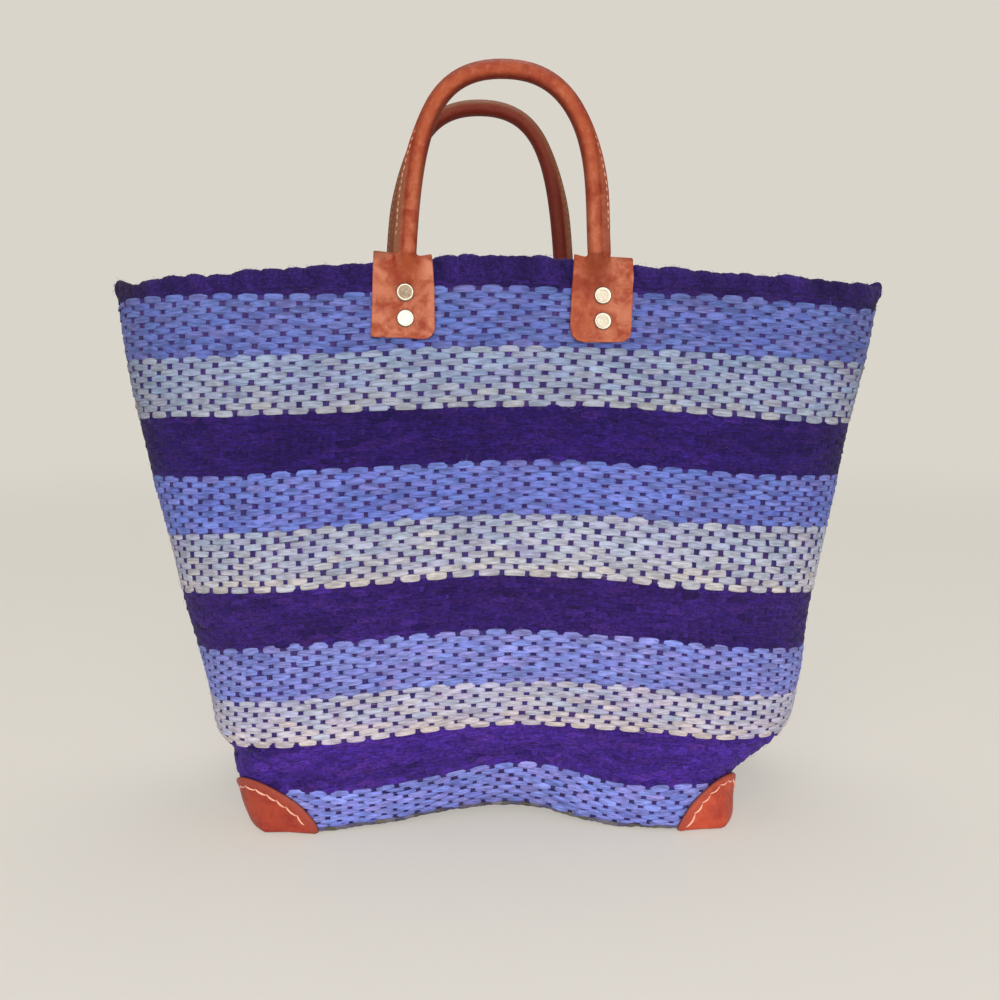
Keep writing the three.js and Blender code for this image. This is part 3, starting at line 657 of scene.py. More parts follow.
# %% Strand material
def strand_material(name, streak_low, streak_high, bloom, relief, felt=0.0, gloss=0.25):
    """Colour comes with the mesh as "tint"; "strand" holds the length and place across."""
    s = Shader(name)
    strand = s.attribute("strand", "Vector")
    fine = s.noise(s.stretch(strand, (0.14, 1.7, 3.1)), scale=1.0, detail=4, roughness=0.62)
    broad = s.noise(s.stretch(strand, (0.06, 0.6, 1.7)), scale=1.0, detail=2)
    streaks = s.math("ADD", s.math("MULTIPLY", fine, 0.7), s.math("MULTIPLY", broad, 0.3))
    light = s.remap(streaks, 0.38, 0.62, streak_low, streak_high)
    if felt:
        level = s.stretch(s.here(), (1, 1, 2.1))  # loose fibres lie level, along the strands
        fuzz = s.noise(level, scale=0.46, detail=6, roughness=0.68)
        light = s.math("MULTIPLY", light, s.remap(fuzz, 0.3, 0.7, 1 - felt, 1 + felt))
        fine = s.math("ADD", fine, s.math("MULTIPLY", fuzz, felt))
    scaled = s.add("ShaderNodeVectorMath", {"operation": "SCALE"}, Scale=light)
    s.put(scaled.inputs[0], s.attribute("tint"))
    rough = s.remap(fine, 0.3, 0.7, 0.62, 0.88)
    return s.finish(scaled.outputs[0], rough, s.bump(fine, relief), Sheen_Weight=bloom,
                    Sheen_Roughness=0.5, Specular_IOR_Level=gloss)


FIBRE = {
    "blue": strand_material("sisal_blue", 0.62, 1.34, 0.06, 0.5),
    "grey": strand_material("sisal_grey", 0.68, 1.24, 0.05, 0.5),
    "purple": strand_material("sisal_purple", 0.76, 1.26, 0.06, 0.5, felt=0.5, gloss=0.12),
    "window": strand_material("sisal_warp", 0.7, 1.3, 0.05, 0.4, felt=0.2, gloss=0.12),
}
print("strand materials:", list(FIBRE))

# %% [markdown]
# Each stripe has a small palette, and every float is its own mix of it. The dye took differently
# in each stripe, so a lot of yarn is lighter or darker as a whole; the lots also carry painted light,
# growing lighter from the rim down to the foot. The grey stripes fade to cream towards their lower
# edge, and all colours darken at the two ends as painted shade. One colour ramp over the height
# would show no single strand.

# %% Dyes
PALETTE = {
    "blue": [srgb(98, 118, 200), srgb(112, 130, 208), srgb(90, 102, 188), srgb(120, 118, 192)],
    "grey": [srgb(160, 178, 200), srgb(176, 192, 204), srgb(168, 166, 196), srgb(184, 188, 196)],
    "purple": [srgb(50, 28, 104), srgb(56, 32, 112), srgb(44, 24, 96), srgb(62, 34, 104)],
    "window": [srgb(62, 45, 112), srgb(48, 38, 106), srgb(72, 44, 98), srgb(52, 52, 96)],
}
CREAM = srgb(210, 203, 188)
# Each lot is partly the dye of its stripe and partly painted light: the stripes grow lighter from the rim
# down to the foot, as if lit more strongly low down.
DYE_LOTS_AND_PAINTED_LIGHT = [  # red, green and blue against the palette, from the rim down
    (0.59, 0.71, 0.64), (0.75, 0.78, 0.73), (0.58, 0.63, 0.78), (0.59, 0.58, 0.71),
    (0.9, 0.91, 0.89), (0.83, 0.81, 0.89), (0.85, 0.85, 0.88), (1.35, 1.21, 1.01),
    (1.0, 0.9, 0.98), (1.37, 1.31, 1.49), (1.43, 1.31, 1.16),
]
# The two ends of the bag are darkened as painted shade, where the wall turns away from the light.
SHADED_ENDS_FROM = 185  # distance from the middle at which the ends begin to darken
ENDS_SHADE = {"purple": (0.34, 0.2, 0.38), "blue": (0.16, 0.2, 0.24), "grey": (0.16, 0.2, 0.24)}


def soft_field(rows, floats, passes=2):
    """Random values that run on a little from each float to its neighbours."""
    field = rng.normal(0, 1, (rows, floats))
    for _ in range(passes):
        field = (2 * field + np.roll(field, 1, 1) + np.roll(field, -1, 1)) / 4
        padded = np.pad(field, ((1, 1), (0, 0)), "edge")
        field = (2 * field + padded[:-2] + padded[2:]) / 4
    return field / max(field.std(), 1e-9)


def float_colours(kind, rows, floats, lot=(1, 1, 1)):
    """One colour per float, mixed from the stripe's palette."""
    palette = np.array(PALETTE[kind])
    weight = rng.dirichlet(np.full(len(palette), 1.1), size=(rows, floats))
    colour = weight @ palette
    uneven = 0.11 if kind == "purple" else 0.05
    tone = 1 + uneven * soft_field(rows, floats) + rng.normal(0, uneven, (rows, floats))
    colour = colour * tone[..., None] * np.asarray(lot)
    if kind == "grey":
        share = np.linspace(0, 1, rows)[:, None, None] ** 2.5
        share = np.clip(share * 0.6 + rng.normal(0, 0.17, (rows, floats, 1)), 0, 1)
        colour = colour * (1 - share) + CREAM * np.asarray(lot) * share
    return np.clip(colour, 0.004, 1)


def dye(obj, tint, strand):
    """Give each point its colour, and its place along and across the strand."""
    opaque = np.concatenate([tint, np.ones_like(tint[..., :1])], -1)
    point_attribute(obj, "tint", "FLOAT_COLOR", opaque)
    point_attribute(obj, "strand", "FLOAT_VECTOR", strand)


print(len(DYE_LOTS_AND_PAINTED_LIGHT), "dye lots for", len(ROWS), "stripes")

# %% [markdown]
# A row repeats one short period: behind a warp, out, and over the next. Each float then differs a
# little in length, thickness, height, slant and tilt, since nothing woven by hand is quite even.
# An array modifier would give the rows, but not these differences.

# %% One row of the weave
ONE_PERIOD = np.array([  # share of the period; how far out, from -1 to 1; how far spread, from 0 to 1
    (0.0, -1.0, 0.0), (0.07, -0.85, 0.0), (0.112, -0.3, 0.15), (0.15, 0.45, 0.45),
    (0.21, 0.8, 0.72), (0.34, 0.97, 0.94), (0.5, 1.0, 1.0), (0.66, 0.97, 0.94),
    (0.79, 0.8, 0.72), (0.85, 0.45, 0.45), (0.888, -0.3, 0.15), (0.93, -0.85, 0.0),
])
FLOATS = WARPS // 2
MIDDLE = -1.7  # the middle of the weave, under the outer face
NARROW = 0.5  # half width behind a warp, as a share of the pitch of the rows
SPREAD = {"blue": 0.72, "grey": 0.65, "purple": 0.74}  # the same in front of a warp
SWING = {"blue": 0.8, "grey": 0.8, "purple": 0.42}  # how far a row goes in and out
STRAND_THICK = 0.55


def uneven_floats(kind, count):
    """How the floats of a stripe differ: their ends, width, height, slant, roll and stand."""
    size = (count, FLOATS)
    return {
        "reach": rng.normal(0, 0.026, (*size, 2)),
        "fatter": SPREAD[kind] + 0.04 * soft_field(*size, 1) + rng.normal(0, 0.035, size),
        "lift": 0.2 * soft_field(*size, 1) + rng.normal(0, 0.16, size),
        "slant": rng.normal(0, 0.3, size),
        "roll": rng.normal(0.08, 0.14, size),
        "proud": rng.normal(0, 0.07, size),
    }


def weft_row(index, row, number, uneven):
    """Path, outward direction, half width and place of one row; number counts from the rim."""
    shares, swing, spread = ONE_PERIOD.T
    reach, fatter, lift, slant, roll, proud = (values[row, :, None] for values in uneven.values())
    at_start, at_end = np.exp(-((shares - 0.14) / 0.05) ** 2), np.exp(-((shares - 0.86) / 0.05) ** 2)
    moved = shares + reach[..., 0] * at_start + reach[..., 1] * at_end
    period = (np.arange(FLOATS)[:, None] * 2 + (number % 2) + 2 * moved).ravel()
    level = (row + 0.5) / ROWS[index]
    top, foot = (boundary(k, ROUND_SHARES) for k in (index, index + 1))
    share = column(period, between(top, foot, level).mean())
    top, foot = (boundary(k, share) for k in (index, index + 1))
    pitch = (top - foot) / ROWS[index]
    rise = between(top, foot, level)
    share = column(period, rise)  # the warps lean, so the place depends on the rise there
    out = (MIDDLE + SWING[COLOURS[index]] * swing + proud * spread).ravel()
    rise = rise + ((lift + slant * (shares - 0.5)) * spread).ravel()
    point, normal = on_wall(rise, share, out, want_normal=True)
    up = unit(np.cross(normal, np.roll(point, -1, 0) - np.roll(point, 1, 0)))
    tilted = unit(normal + up * (roll * spread).ravel()[:, None])
    width = pitch * (NARROW + (fatter - NARROW) * spread).ravel()
    return point, tilted, width, np.stack([share * 1000, 0 * share, 0 * share + number * 7.3], -1)


print("a row has", FLOATS, "floats and", FLOATS * len(ONE_PERIOD), "points along its path")


# %% Weft rows
def weft_band(index, first_row):
    """All rows of one stripe, as one piece."""
    kind, count, sides = COLOURS[index], ROWS[index], len(LENS)
    uneven = uneven_floats(kind, count)
    rows = [weft_row(index, row, first_row + row, uneven) for row in range(count)]
    paths, outs, widths, places = (np.array(part) for part in zip(*rows))
    samples = paths.shape[1]
    points, faces = strands(paths, outs, widths, np.full((count, samples), STRAND_THICK), True)
    obj = make_mesh(f"weft_{index + 1:02d}_{kind}", points, faces, FIBRE[kind])
    place = np.repeat(places[:, :, None], sides, 2)
    place[..., 1] = np.arange(sides) - 2
    # the float colours take their stripe's lot, painted light included
    tint = np.repeat(float_colours(kind, count, FLOATS, DYE_LOTS_AND_PAINTED_LIGHT[index]), len(ONE_PERIOD), 1)
    # painted shade: every colour darkens towards both ends of the bag
    tone_shift = smooth((np.abs(paths[..., 0]) - SHADED_ENDS_FROM) / 48)[..., None]
    tint = tint * (1 - tone_shift * np.array(ENDS_SHADE[kind]))
    dye(obj, tint[:, :, None].repeat(sides, 2), place)
    lane_uv(obj, count, samples, sides, 4, True)
    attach(obj, "root")
    return obj


weft_pieces = [weft_band(band, sum(ROWS[:band])) for band in range(len(ROWS))]
print("weft pieces", len(weft_pieces), "faces", sum(len(o.data.polygons) for o in weft_pieces))

# %% [markdown]
# The warps are flat dark strands in the middle of the wall. They could be left out, since so little
# of them shows, but the light inside would then shine through the windows. In the purple stripes
# they are dyed like the rows.

# %% Warps
WARP_LENS = np.array([(1, 0), (0.6, 1), (-0.6, 1), (-1, 0), (-0.6, -1), (0.6, -1)])
WARP_SAMPLES, WARP_HALF_WIDTH, WARP_HALF_THICK = 110, 2.35, 0.45


def warp_strands():
    rises = np.linspace(BASE_RISE + 0.5, WEAVE_TOP - 5, WARP_SAMPLES)
    number = np.arange(WARPS)[:, None]
    shape, sides = (WARPS, WARP_SAMPLES), len(WARP_LENS)
    wander = 0.1 * soft_field(WARP_SAMPLES, WARPS, 3).T
    places = column(number + wander, rises[None])
    point, normal = on_wall(rises[None], places, MIDDLE + 0.1, want_normal=True)
    half = (WARP_HALF_WIDTH + rng.normal(0, 0.15, (WARPS, 1))
            + 0.12 * soft_field(WARP_SAMPLES, WARPS, 1).T)
    thick = np.full(shape, WARP_HALF_THICK)
    points, faces = strands(point, normal, half, thick, False, WARP_LENS)
    obj = make_mesh("warps", points, faces, FIBRE["window"])
    tint = float_colours("window", WARPS, WARP_SAMPLES // 2).repeat(2, 1)
    share = column(number, rises[None])
    band = sum((rises[None] < boundary(k, share)).astype(int) for k in range(1, len(ROWS)))
    dyed = float_colours("purple", WARPS, WARP_SAMPLES) * np.array(DYE_LOTS_AND_PAINTED_LIGHT)[band]
    tint = np.where(np.array([c == "purple" for c in COLOURS])[band][..., None], dyed, tint)
    place = np.zeros((*shape, sides, 3))
    place[..., 0] = rises[None, :, None]
    place[..., 1] = np.arange(sides)
    place[..., 2] = number[..., None] * 5.1
    dye(obj, tint[:, :, None].repeat(sides, 2), place)
    lane_uv(obj, WARPS, WARP_SAMPLES, sides, 1, False)
    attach(obj, "root")
    return obj


warps = warp_strands()
print("warps", WARPS, "faces", len(warps.data.polygons))

# %% [markdown]
# ### The rim
#
# At the mouth the warp ends are folded over the top edge and bound down, so densely that they felt
# together: the edge is a thick soft roll with low, uneven bumps, one for every other warp. Single
# strands could be wound round it, but on the real bag none can be told from the next. So it is one
# skin that climbs the outside, turns over the edge and goes down inside. The bumps lean along the
# roll, and its lower edges sink into the weave.

# %% Rim roll
ROLL = np.array([  # outward and upward from the weave's top edge, from outside to inside and back
    (-1.2, -11.0), (-0.5, -9.5), (-0.1, -7.5), (0.1, -5.0), (0.15, -2.5), (-0.1, -0.8), (-0.7, 0.6),
    (-1.5, 1.3), (-2.6, 1.3), (-3.6, 0.6), (-4.3, -0.8), (-4.5, -3.0), (-4.4, -6.0), (-3.8, -8.5),
    (-3.2, -9.5), (-2.6, -8.0), (-2.2, -3.0), (-1.8, -3.0), (-1.6, -8.0)])
ROLL_MIDDLE = np.array([-2.0, -3.0])
ROUND_ROLL, ACROSS_ROLL = 2304, 42
RIM_WANDER = np.array([  # x, and how far the edge lies above an even arch
    (-238, 1.3), (-230, 0.0), (-221, -2.3), (-208, -1.5), (-199, 0.0), (-187, -0.7), (-177, -1.8),
    (-160, -2.0), (-149, -0.2), (-132, -1.1), (-115, -1.3), (-90, -0.5), (-66, 0.0), (-46, 0.8),
    (-28, 2.7), (-4, 2.9), (12, 2.9), (26, 1.2), (60, -0.5), (82, -2.9), (95, -1.6), (120, -3.0),
    (148, -2.8), (170, -2.1), (188, -1.4), (204, -2.3), (223, -1.3), (238, -2.6)]).T
SOILED = (0.1, 0.1, 0.55)  # how much red, green and blue the rubbed end has lost


def rim_bumps(even, share):
    """A bump for each float, over uneven steps: higher here, lower there, leaning along the roll."""
    steps = np.cumsum(np.clip(rng.normal(1, 0.25, FLOATS), 0.5, 1.5))
    ends = np.concatenate([[0], steps / steps[-1] * FLOATS])
    phase = np.interp(share, np.arange(FLOATS + 1) / FLOATS, ends)
    heights = np.clip(rng.normal(1.15, 0.4, FLOATS), 0.3, 1.9)
    turn = phase[None] + 0.04 * even[:, None]
    which = np.floor(turn).astype(int) % FLOATS
    return heights[which] * np.abs(np.sin(np.pi * (turn % 1) ** 0.75)) ** 0.65


print("the rim wanders from", RIM_WANDER[1].min(), "to", RIM_WANDER[1].max(), "mm off an even arch")


# %% The whole roll
def rim_roll():
    size = (ACROSS_ROLL, ROUND_ROLL)
    ends = np.vstack([ROLL, ROLL[:1]])
    run = travelled(ends)
    even = np.linspace(0, run[-1], ACROSS_ROLL + 1)[:-1]
    section_out, section_up = (np.interp(even, run, ends[:, k]) for k in (0, 1))
    shown = smooth((section_up + 9.5) / 5) * smooth((even[-1] - even) / 12)
    share = np.arange(ROUND_ROLL) / ROUND_ROLL
    edge, out = on_wall(WEAVE_TOP, share, 0, want_normal=True)
    up = unit(edge - on_wall(WEAVE_TOP - 7, share, 0))
    bump = rim_bumps(even, share)
    ripple = soft_field(*size, 2) * 0.09 + soft_field(*size, 9) * 0.1
    grow = shown[:, None] * (1.15 * bump - 0.45 + ripple)
    away = unit(np.stack([section_out, section_up], -1) - ROLL_MIDDLE)
    along = np.where(edge[:, 1] < 0, edge[:, 0], -edge[:, 0])
    sway = np.interp(along, *RIM_WANDER) + 0.15 * soft_field(1, ROUND_ROLL, 400)[0]
    o = section_out[:, None] + away[:, :1] * grow - 1.3 * smooth((-edge[:, 0] - 195) / 35)
    u = section_up[:, None] + away[:, 1:] * grow + (smooth((section_up + 8) / 8)[:, None] * sway[None])
    points = edge[None] + out[None] * o[..., None] + up[None] * u[..., None]
    faces = grid_faces(*size, close_rows=True, close_cols=True)
    obj = make_mesh("rim_roll", points.reshape(-1, 3), faces, FIBRE["purple"])
    # The rim is brighter on its higher bumps and darker between them, as painted shade in the gaps, over
    # a random tone.
    tone = (1 + 0.12 * soft_field(1, ROUND_ROLL, 60) + 0.26 * (bump - 1))[..., None]
    tint = np.broadcast_to(np.mean(PALETTE["purple"], 0) * DYE_LOTS_AND_PAINTED_LIGHT[0], (*size, 3)) * tone
    soiled = smooth((-edge[:, 0] - 200) / 30)[None, :, None]  # the end that rubs is brown
    tint = tint * (1 - soiled * np.array(SOILED))
    place = np.zeros((*size, 3))
    place[..., 0] = even[:, None] * 3
    place[..., 1] = (share * 400)[None]
    dye(obj, np.clip(tint, 0, 1), place)
    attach(obj, "root")
    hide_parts("rim_binding")
    return obj


rim = rim_roll()
print("rim faces", len(rim.data.polygons))

# %% [markdown]
# Loose fibres stand up from the felted rim, and longer ones have worked out of the weave and lie
# over it. They are fine and few, but they break up every edge and catch the light on the dark
# stripes. A hair system would do for a render, but it isn't a mesh, so each fibre is a thin tube.

# %% Fibres
HAIR_SAMPLES = 7
TRIANGLE = np.array([(math.cos(a), math.sin(a)) for a in (0, 2.094, 4.189)])


def hairs(name, roots, normals, directions, lengths, curls, radius, tint, material):
    """Thin three-sided tubes, each of them a curve that leaves the surface and falls back."""
    steps = np.linspace(0, 1, HAIR_SAMPLES)
    side = np.cross(normals, directions)
    along = lengths[:, None] * steps
    sideways = curls[:, :1] * along * steps
    height = curls[:, 1:2] * np.sin(np.pi * steps * curls[:, 2:3])
    path = (roots[:, None] + directions[:, None] * along[..., None]
            + side[:, None] * sideways[..., None] + normals[:, None] * height[..., None])
    thick = radius * (1 - 0.7 * steps)[None].repeat(len(roots), 0)
    outs = normals[:, None].repeat(HAIR_SAMPLES, 1)
    points, faces = strands(path, outs, thick, thick, False, TRIANGLE)
    obj = make_mesh(name, points, faces, material)
    dye(obj, np.repeat(tint[:, None], HAIR_SAMPLES * len(TRIANGLE), 1), points)
    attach(obj, "root")
    print(name, len(roots))
    return obj


# %% Fuzz on the rim
def rim_fuzz(count=2600):
    place = rng.integers(0, ROUND_ROLL, count)
    rows = rng.integers(3, 28, count)
    skin = coordinates(rim).reshape(ACROSS_ROLL, ROUND_ROLL, 3)
    root = skin[rows, place]
    up = skin[(rows + 1) % ACROSS_ROLL, place] - root
    round_it = skin[rows, (place + 1) % ROUND_ROLL] - root
    normal = unit(np.cross(round_it, -up))
    from_weave = root - on_wall(WEAVE_TOP - 3, place / ROUND_ROLL, -2)
    normal *= np.sign(np.sum(normal * from_weave, -1))[:, None]
    spin = rng.uniform(0, 2 * np.pi, (count, 1))
    direction = unit(unit(round_it) * np.cos(spin) + unit(up) * np.sin(spin)
                     + normal * rng.uniform(0, 0.5, (count, 1)))
    curls = np.stack([rng.normal(0, 0.35, count), rng.uniform(0.2, 0.75, count),
                      rng.uniform(0.6, 1, count)], -1)
    tint = np.mean(PALETTE["purple"], 0) * rng.uniform(0.9, 3.2, (count, 1))
    return hairs("rim_fuzz", root, normal, direction, rng.uniform(1.0, 3.2, count), curls, 0.085,
                 tint, FIBRE["purple"])


rim_fuzz()


# %% Loose fibres on the weave
def loose_fibres(count=900):
    share, rise = rng.random(count), rng.uniform(BASE_RISE + 8, WEAVE_TOP - 6, count)
    near = on_wall(rise, share)
    away = ~((near[:, 2] > 265) & (np.abs(near[:, 0]) < 110))  # none in front of the tabs
    share, rise = share[away], rise[away]
    root, normal = on_wall(rise, share, -0.4, want_normal=True)
    level = unit(on_wall(rise, share + 0.002, -0.4) - root)
    count = len(root)
    spin = rng.normal(0, 0.7, (count, 1))
    direction = unit(level * np.cos(spin) + np.cross(normal, level) * np.sin(spin))
    curls = np.stack([rng.normal(0, 0.3, count), rng.uniform(0.3, 1.1, count),
                      rng.uniform(0.5, 1, count)], -1)
    stripe = sum((rise < boundary(k, share)).astype(int) for k in range(1, len(ROWS)))
    base = np.array([np.mean(PALETTE[c], 0) * lot for c, lot in zip(COLOURS, DYE_LOTS_AND_PAINTED_LIGHT)])[stripe]
    tint = base * rng.uniform(1.0, 1.5, (count, 1)) + rng.uniform(0, 0.12, (count, 1))
    return hairs("loose_fibres", root, normal, direction, rng.uniform(2.5, 9, count), curls, 0.1,
                 np.clip(tint, 0, 0.8), FIBRE["grey"])


loose_fibres()

# %% [markdown]
# ### The base
#
# The base is a mat of the same plain weave. Its rows run the long way and are cut at the outline
# of the body. It lifts a little towards its middle, where nothing holds it down. A flat woven
# texture would do under a bag that never turns over, but this one is seen from all sides.

# %% Height and outline of the base
MIDDLE_LIFT = 2.3 + BASE_LIFT * 0.8  # how high the middle of the base stands


def base_height(x, y):
    """Height of the base at a place, and how far out that is, where 1 is the edge."""
    outline = WALL[0]
    turn = np.arctan2(outline[:, 1], outline[:, 0] - BASE_LEAN)
    order = np.argsort(turn)
    radius = np.hypot(outline[:, 0] - BASE_LEAN, outline[:, 1])
    a = np.arctan2(y, x - BASE_LEAN)
    reach = np.interp(a, turn[order], radius[order], period=2 * np.pi)
    edge = np.interp(a, turn[order], outline[order, 2], period=2 * np.pi)
    share = np.hypot(x - BASE_LEAN, y) / reach
    return between(MIDDLE_LIFT, edge, np.clip(share, 0, 1) ** 3), share


print("base stands", round(float(base_height(BASE_LEAN, 0.0)[0]), 1), "mm high in the middle")

# %% [markdown]
# Where wall and base are joined, a thin turned edge of dull, dark grey strands runs round. It is
# drawn as one strand along the foot of the wall, twisted as it goes.

# %% Base edge
EDGE_SAMPLES, EDGE_TWISTS = 720, 150


def base_edge():
    share = np.arange(EDGE_SAMPLES) / EDGE_SAMPLES
    point, normal = on_wall(BASE_RISE, share, -0.9, want_normal=True)
    point = point - np.array([0, 0, 0.5])
    phase = 2 * np.pi * share * EDGE_TWISTS + 2 * soft_field(1, EDGE_SAMPLES, 20)[0]
    twist = 0.5 + 0.5 * np.sin(phase)
    half = (1.15 + 0.3 * twist + 0.12 * soft_field(1, EDGE_SAMPLES, 6)[0])[None]
    points, faces = strands(point[None], normal[None], half, 0.75 * half, True)
    obj = make_mesh("base_edge", points, faces, FIBRE["window"])
    sides = len(LENS)
    dull = np.array([srgb(96, 90, 118), srgb(66, 60, 98), srgb(122, 118, 122), srgb(92, 88, 62)])
    tint = rng.dirichlet(np.full(4, 0.6), size=EDGE_SAMPLES // 5).repeat(5, 0) @ dull
    place = np.stack([share * 1000, 0 * share, 0 * share], -1).repeat(sides, 0)
    place[:, 1] = np.tile(np.arange(sides) - 2, EDGE_SAMPLES)
    dye(obj, tint.repeat(sides, 0), place)
    lane_uv(obj, 1, EDGE_SAMPLES, sides, 4, True)
    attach(obj, "root")
    print("base edge faces", len(obj.data.polygons))


base_edge()


# %% One strand of the base
BASE_WARP_GAP = 7.3
MAT_PERIOD = 2 * BASE_WARP_GAP


def mat_strand(low, high, level, k, pitch, along_x):
    """One straight strand over the base; the rows also wave over and under the warps."""
    count = int((high - low) / 1.35)
    t = np.linspace(low, high, count)
    x = (t + BASE_LEAN) if along_x else np.full_like(t, level + BASE_LEAN)
    y = np.full_like(t, level) if along_x else t
    wave = np.cos(2 * np.pi * t / MAT_PERIOD + np.pi * k) if along_x else np.zeros_like(t)
    wave = np.sign(wave) * np.abs(wave) ** 0.6
    path = np.stack([x, y, base_height(x, y)[0] + 1.6 - (0.8 if along_x else 0) * wave], -1)[None]
    out = np.broadcast_to(np.array([0, 0, -1.0]), path.shape)
    half = (pitch * (0.53 + 0.12 * np.abs(wave)) if along_x else np.full(count, 1.75))[None]
    thick = np.full((1, count), 0.6 if along_x else 0.45)
    points, faces = strands(path, out, half, thick, False)
    place = np.zeros((count, len(LENS), 3))
    place[..., 0] = t[:, None]
    place[..., 1] = np.arange(len(LENS)) - 2
    place[..., 2] = k * 4.7
    return t, points, faces, place.reshape(-1, 3)


print("the rows of the base repeat every", MAT_PERIOD, "mm")


# %% Rows and warps of the base
def mat(name, kind, rows, pitch, along_x):
    """All straight strands of the base that run one way, cut at its outline."""
    all_points, all_faces, all_place, all_tint, start = [], [], [], [], 0
    reach = 145 if along_x else 80
    fine = np.arange(-reach, reach, 0.5)
    for k, level in enumerate(rows):
        x = (fine + BASE_LEAN) if along_x else np.full_like(fine, level + BASE_LEAN)
        y = np.full_like(fine, level) if along_x else fine
        inside = np.concatenate([[False], base_height(x, y)[1] < 0.985, [False]])
        starts, stops = (np.nonzero(np.diff(inside.astype(int)) == s)[0] for s in (1, -1))
        for low, high in zip(fine[starts], fine[stops - 1]):
            if high - low < 8:
                continue
            t, points, faces, place = mat_strand(low, high, level, k, pitch, along_x)
            all_points.append(points)
            all_faces.append(faces + start)
            start += len(points)
            all_place.append(place)
            floats = float_colours(kind, 1, int(2 * reach / MAT_PERIOD) + 3)[0]
            tone = floats[((t + reach) / MAT_PERIOD).astype(int)]
            all_tint.append(np.repeat(tone, len(LENS), 0))
    obj = make_mesh(name, np.concatenate(all_points), np.concatenate(all_faces), FIBRE[kind])
    dye(obj, np.concatenate(all_tint), np.concatenate(all_place))
    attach(obj, "root")
    print(name, len(all_points), "strands")
    return obj


base_rows = mat("base_rows", "blue", np.arange(-75, 76, 3.1), 3.1, True)
base_warps = mat("base_warps", "purple", np.arange(-138.7, 139, BASE_WARP_GAP), 3.5, False)


# %% [markdown]
# ## Leather
#
# The handles and tabs are smooth tan leather, semi-matt, with a mottled dye that wears lighter
# where hands and edges rub. Cut edges and the stitched seam are rawer and darker. The corner
# patches are redder. The fine grain is a few tenths of a millimetre across, under a weak gloss.
# On the handles, painted shade and painted highlights are laid in among the wear. The wear could
# be painted on by hand. Here each mesh carries it, and the painted light, as values worked out
# from the place on the handle, so both move along when the shape changes.

# %% Leather materials
def leather_material(name, light, ruddy, wear_and_highlight, dark, raw, gloss):
    """Besides its mottle, the mesh says where the leather is raw, darker and paler; on the handles the
    darker places are mostly painted shade, and the paler ones wear and painted highlights.
    """
    s = Shader(name)
    here = s.here()
    mottle = s.noise(here, scale=0.09, detail=4, roughness=0.6, distortion=0.4)
    patchy = s.noise(here, scale=0.3, detail=4, roughness=0.6)
    colour = s.mix(light, ruddy, s.remap(mottle, 0.38, 0.66))
    # patchy wear, and the "pale" values: wear, and on the handles also painted highlights
    tone_shift = s.math("ADD", s.math("MULTIPLY", s.remap(patchy, 0.46, 0.78), 0.34), s.math(
        "MULTIPLY", s.attribute("pale", "Fac"), s.remap(mottle, 0.66, 0.38)))
    colour = s.mix(colour, wear_and_highlight, tone_shift)
    # the "dark" values: on the handles mostly painted shade
    colour = s.mix(colour, dark, s.attribute("dark", "Fac"))
    speck = s.noise(here, scale=1.6, detail=3)
    raw_colour = s.mix(raw, wear_and_highlight, s.remap(speck, 0.45, 0.75, 0, 0.5))
    colour = s.mix(colour, raw_colour, s.attribute("raw", "Fac"))
    grain = s.noise(here, scale=2.6, detail=5, roughness=0.65)
    rough = s.remap(s.noise(here, scale=0.5, detail=3), 0.3, 0.7, gloss - 0.07, gloss + 0.12)
    pores = s.add("ShaderNodeTexVoronoi", {"feature": "DISTANCE_TO_EDGE"}, Vector=here, Scale=1.9)
    crease = s.remap(pores.outputs["Distance"], 0.0, 0.12)
    normal = s.bump(grain, 0.14)
    normal = s.bump(crease, 0.035, normal)
    normal = s.bump(patchy, 0.6, normal)
    return s.finish(colour, rough, normal, Specular_IOR_Level=0.24)


# On the handles the dark colour serves mostly as painted shade, and the pale colour also as painted
# highlight.
HANDLE_LEATHER = leather_material(
    "handle_leather", light=srgb(164, 75, 40), ruddy=srgb(147, 55, 28), wear_and_highlight=srgb(198, 124, 96),
    dark=srgb(98, 22, 6), raw=srgb(112, 68, 38), gloss=0.45)
PATCH_LEATHER = leather_material(
    "patch_leather", light=srgb(196, 78, 52), ruddy=srgb(168, 56, 42), wear_and_highlight=srgb(204, 110, 84),
    dark=srgb(128, 44, 34), raw=srgb(150, 72, 60), gloss=0.42)
print("leathers:", HANDLE_LEATHER.name, "and", PATCH_LEATHER.name)

# %% [markdown]
# Three threads are used: a thick pale waxed one at the patches, and a thin one at each handle,
# darker at the back as painted shade. The cord inside the handles is undyed plant fibre. All are
# twisted yarn, so one small material does for them, with its own colours, fineness and roughness
# each time.

# %% Yarns
def yarn_material(name, low, high, scale, rough, detail=3, relief=0.2, **fixed):
    s = Shader(name)
    ply = s.noise(s.here(), scale=scale, detail=detail)
    colour = s.mix(srgb(*low), srgb(*high), s.remap(ply, 0.35, 0.65))
    return s.finish(colour, rough, s.bump(ply, relief), **fixed)


THREAD = yarn_material("waxed_thread", (236, 166, 140), (250, 200, 176), 2.2, 0.6, Sheen_Weight=0.1)
HANDLE_THREAD = {
    "front": yarn_material("front_handle_thread", (186, 128, 102), (218, 168, 142), 1.1, 0.7),
    # painted shade: the back thread is a darker copy of the front one
    "back": yarn_material("shaded_back_handle_thread", (136, 90, 62), (164, 120, 88), 1.1, 0.7),
}
CORD = yarn_material("plant_cord", (190, 166, 120), (214, 196, 152), 1.4, 0.9, detail=4, relief=0.3)
print("yarns:", THREAD.name, "and", CORD.name)

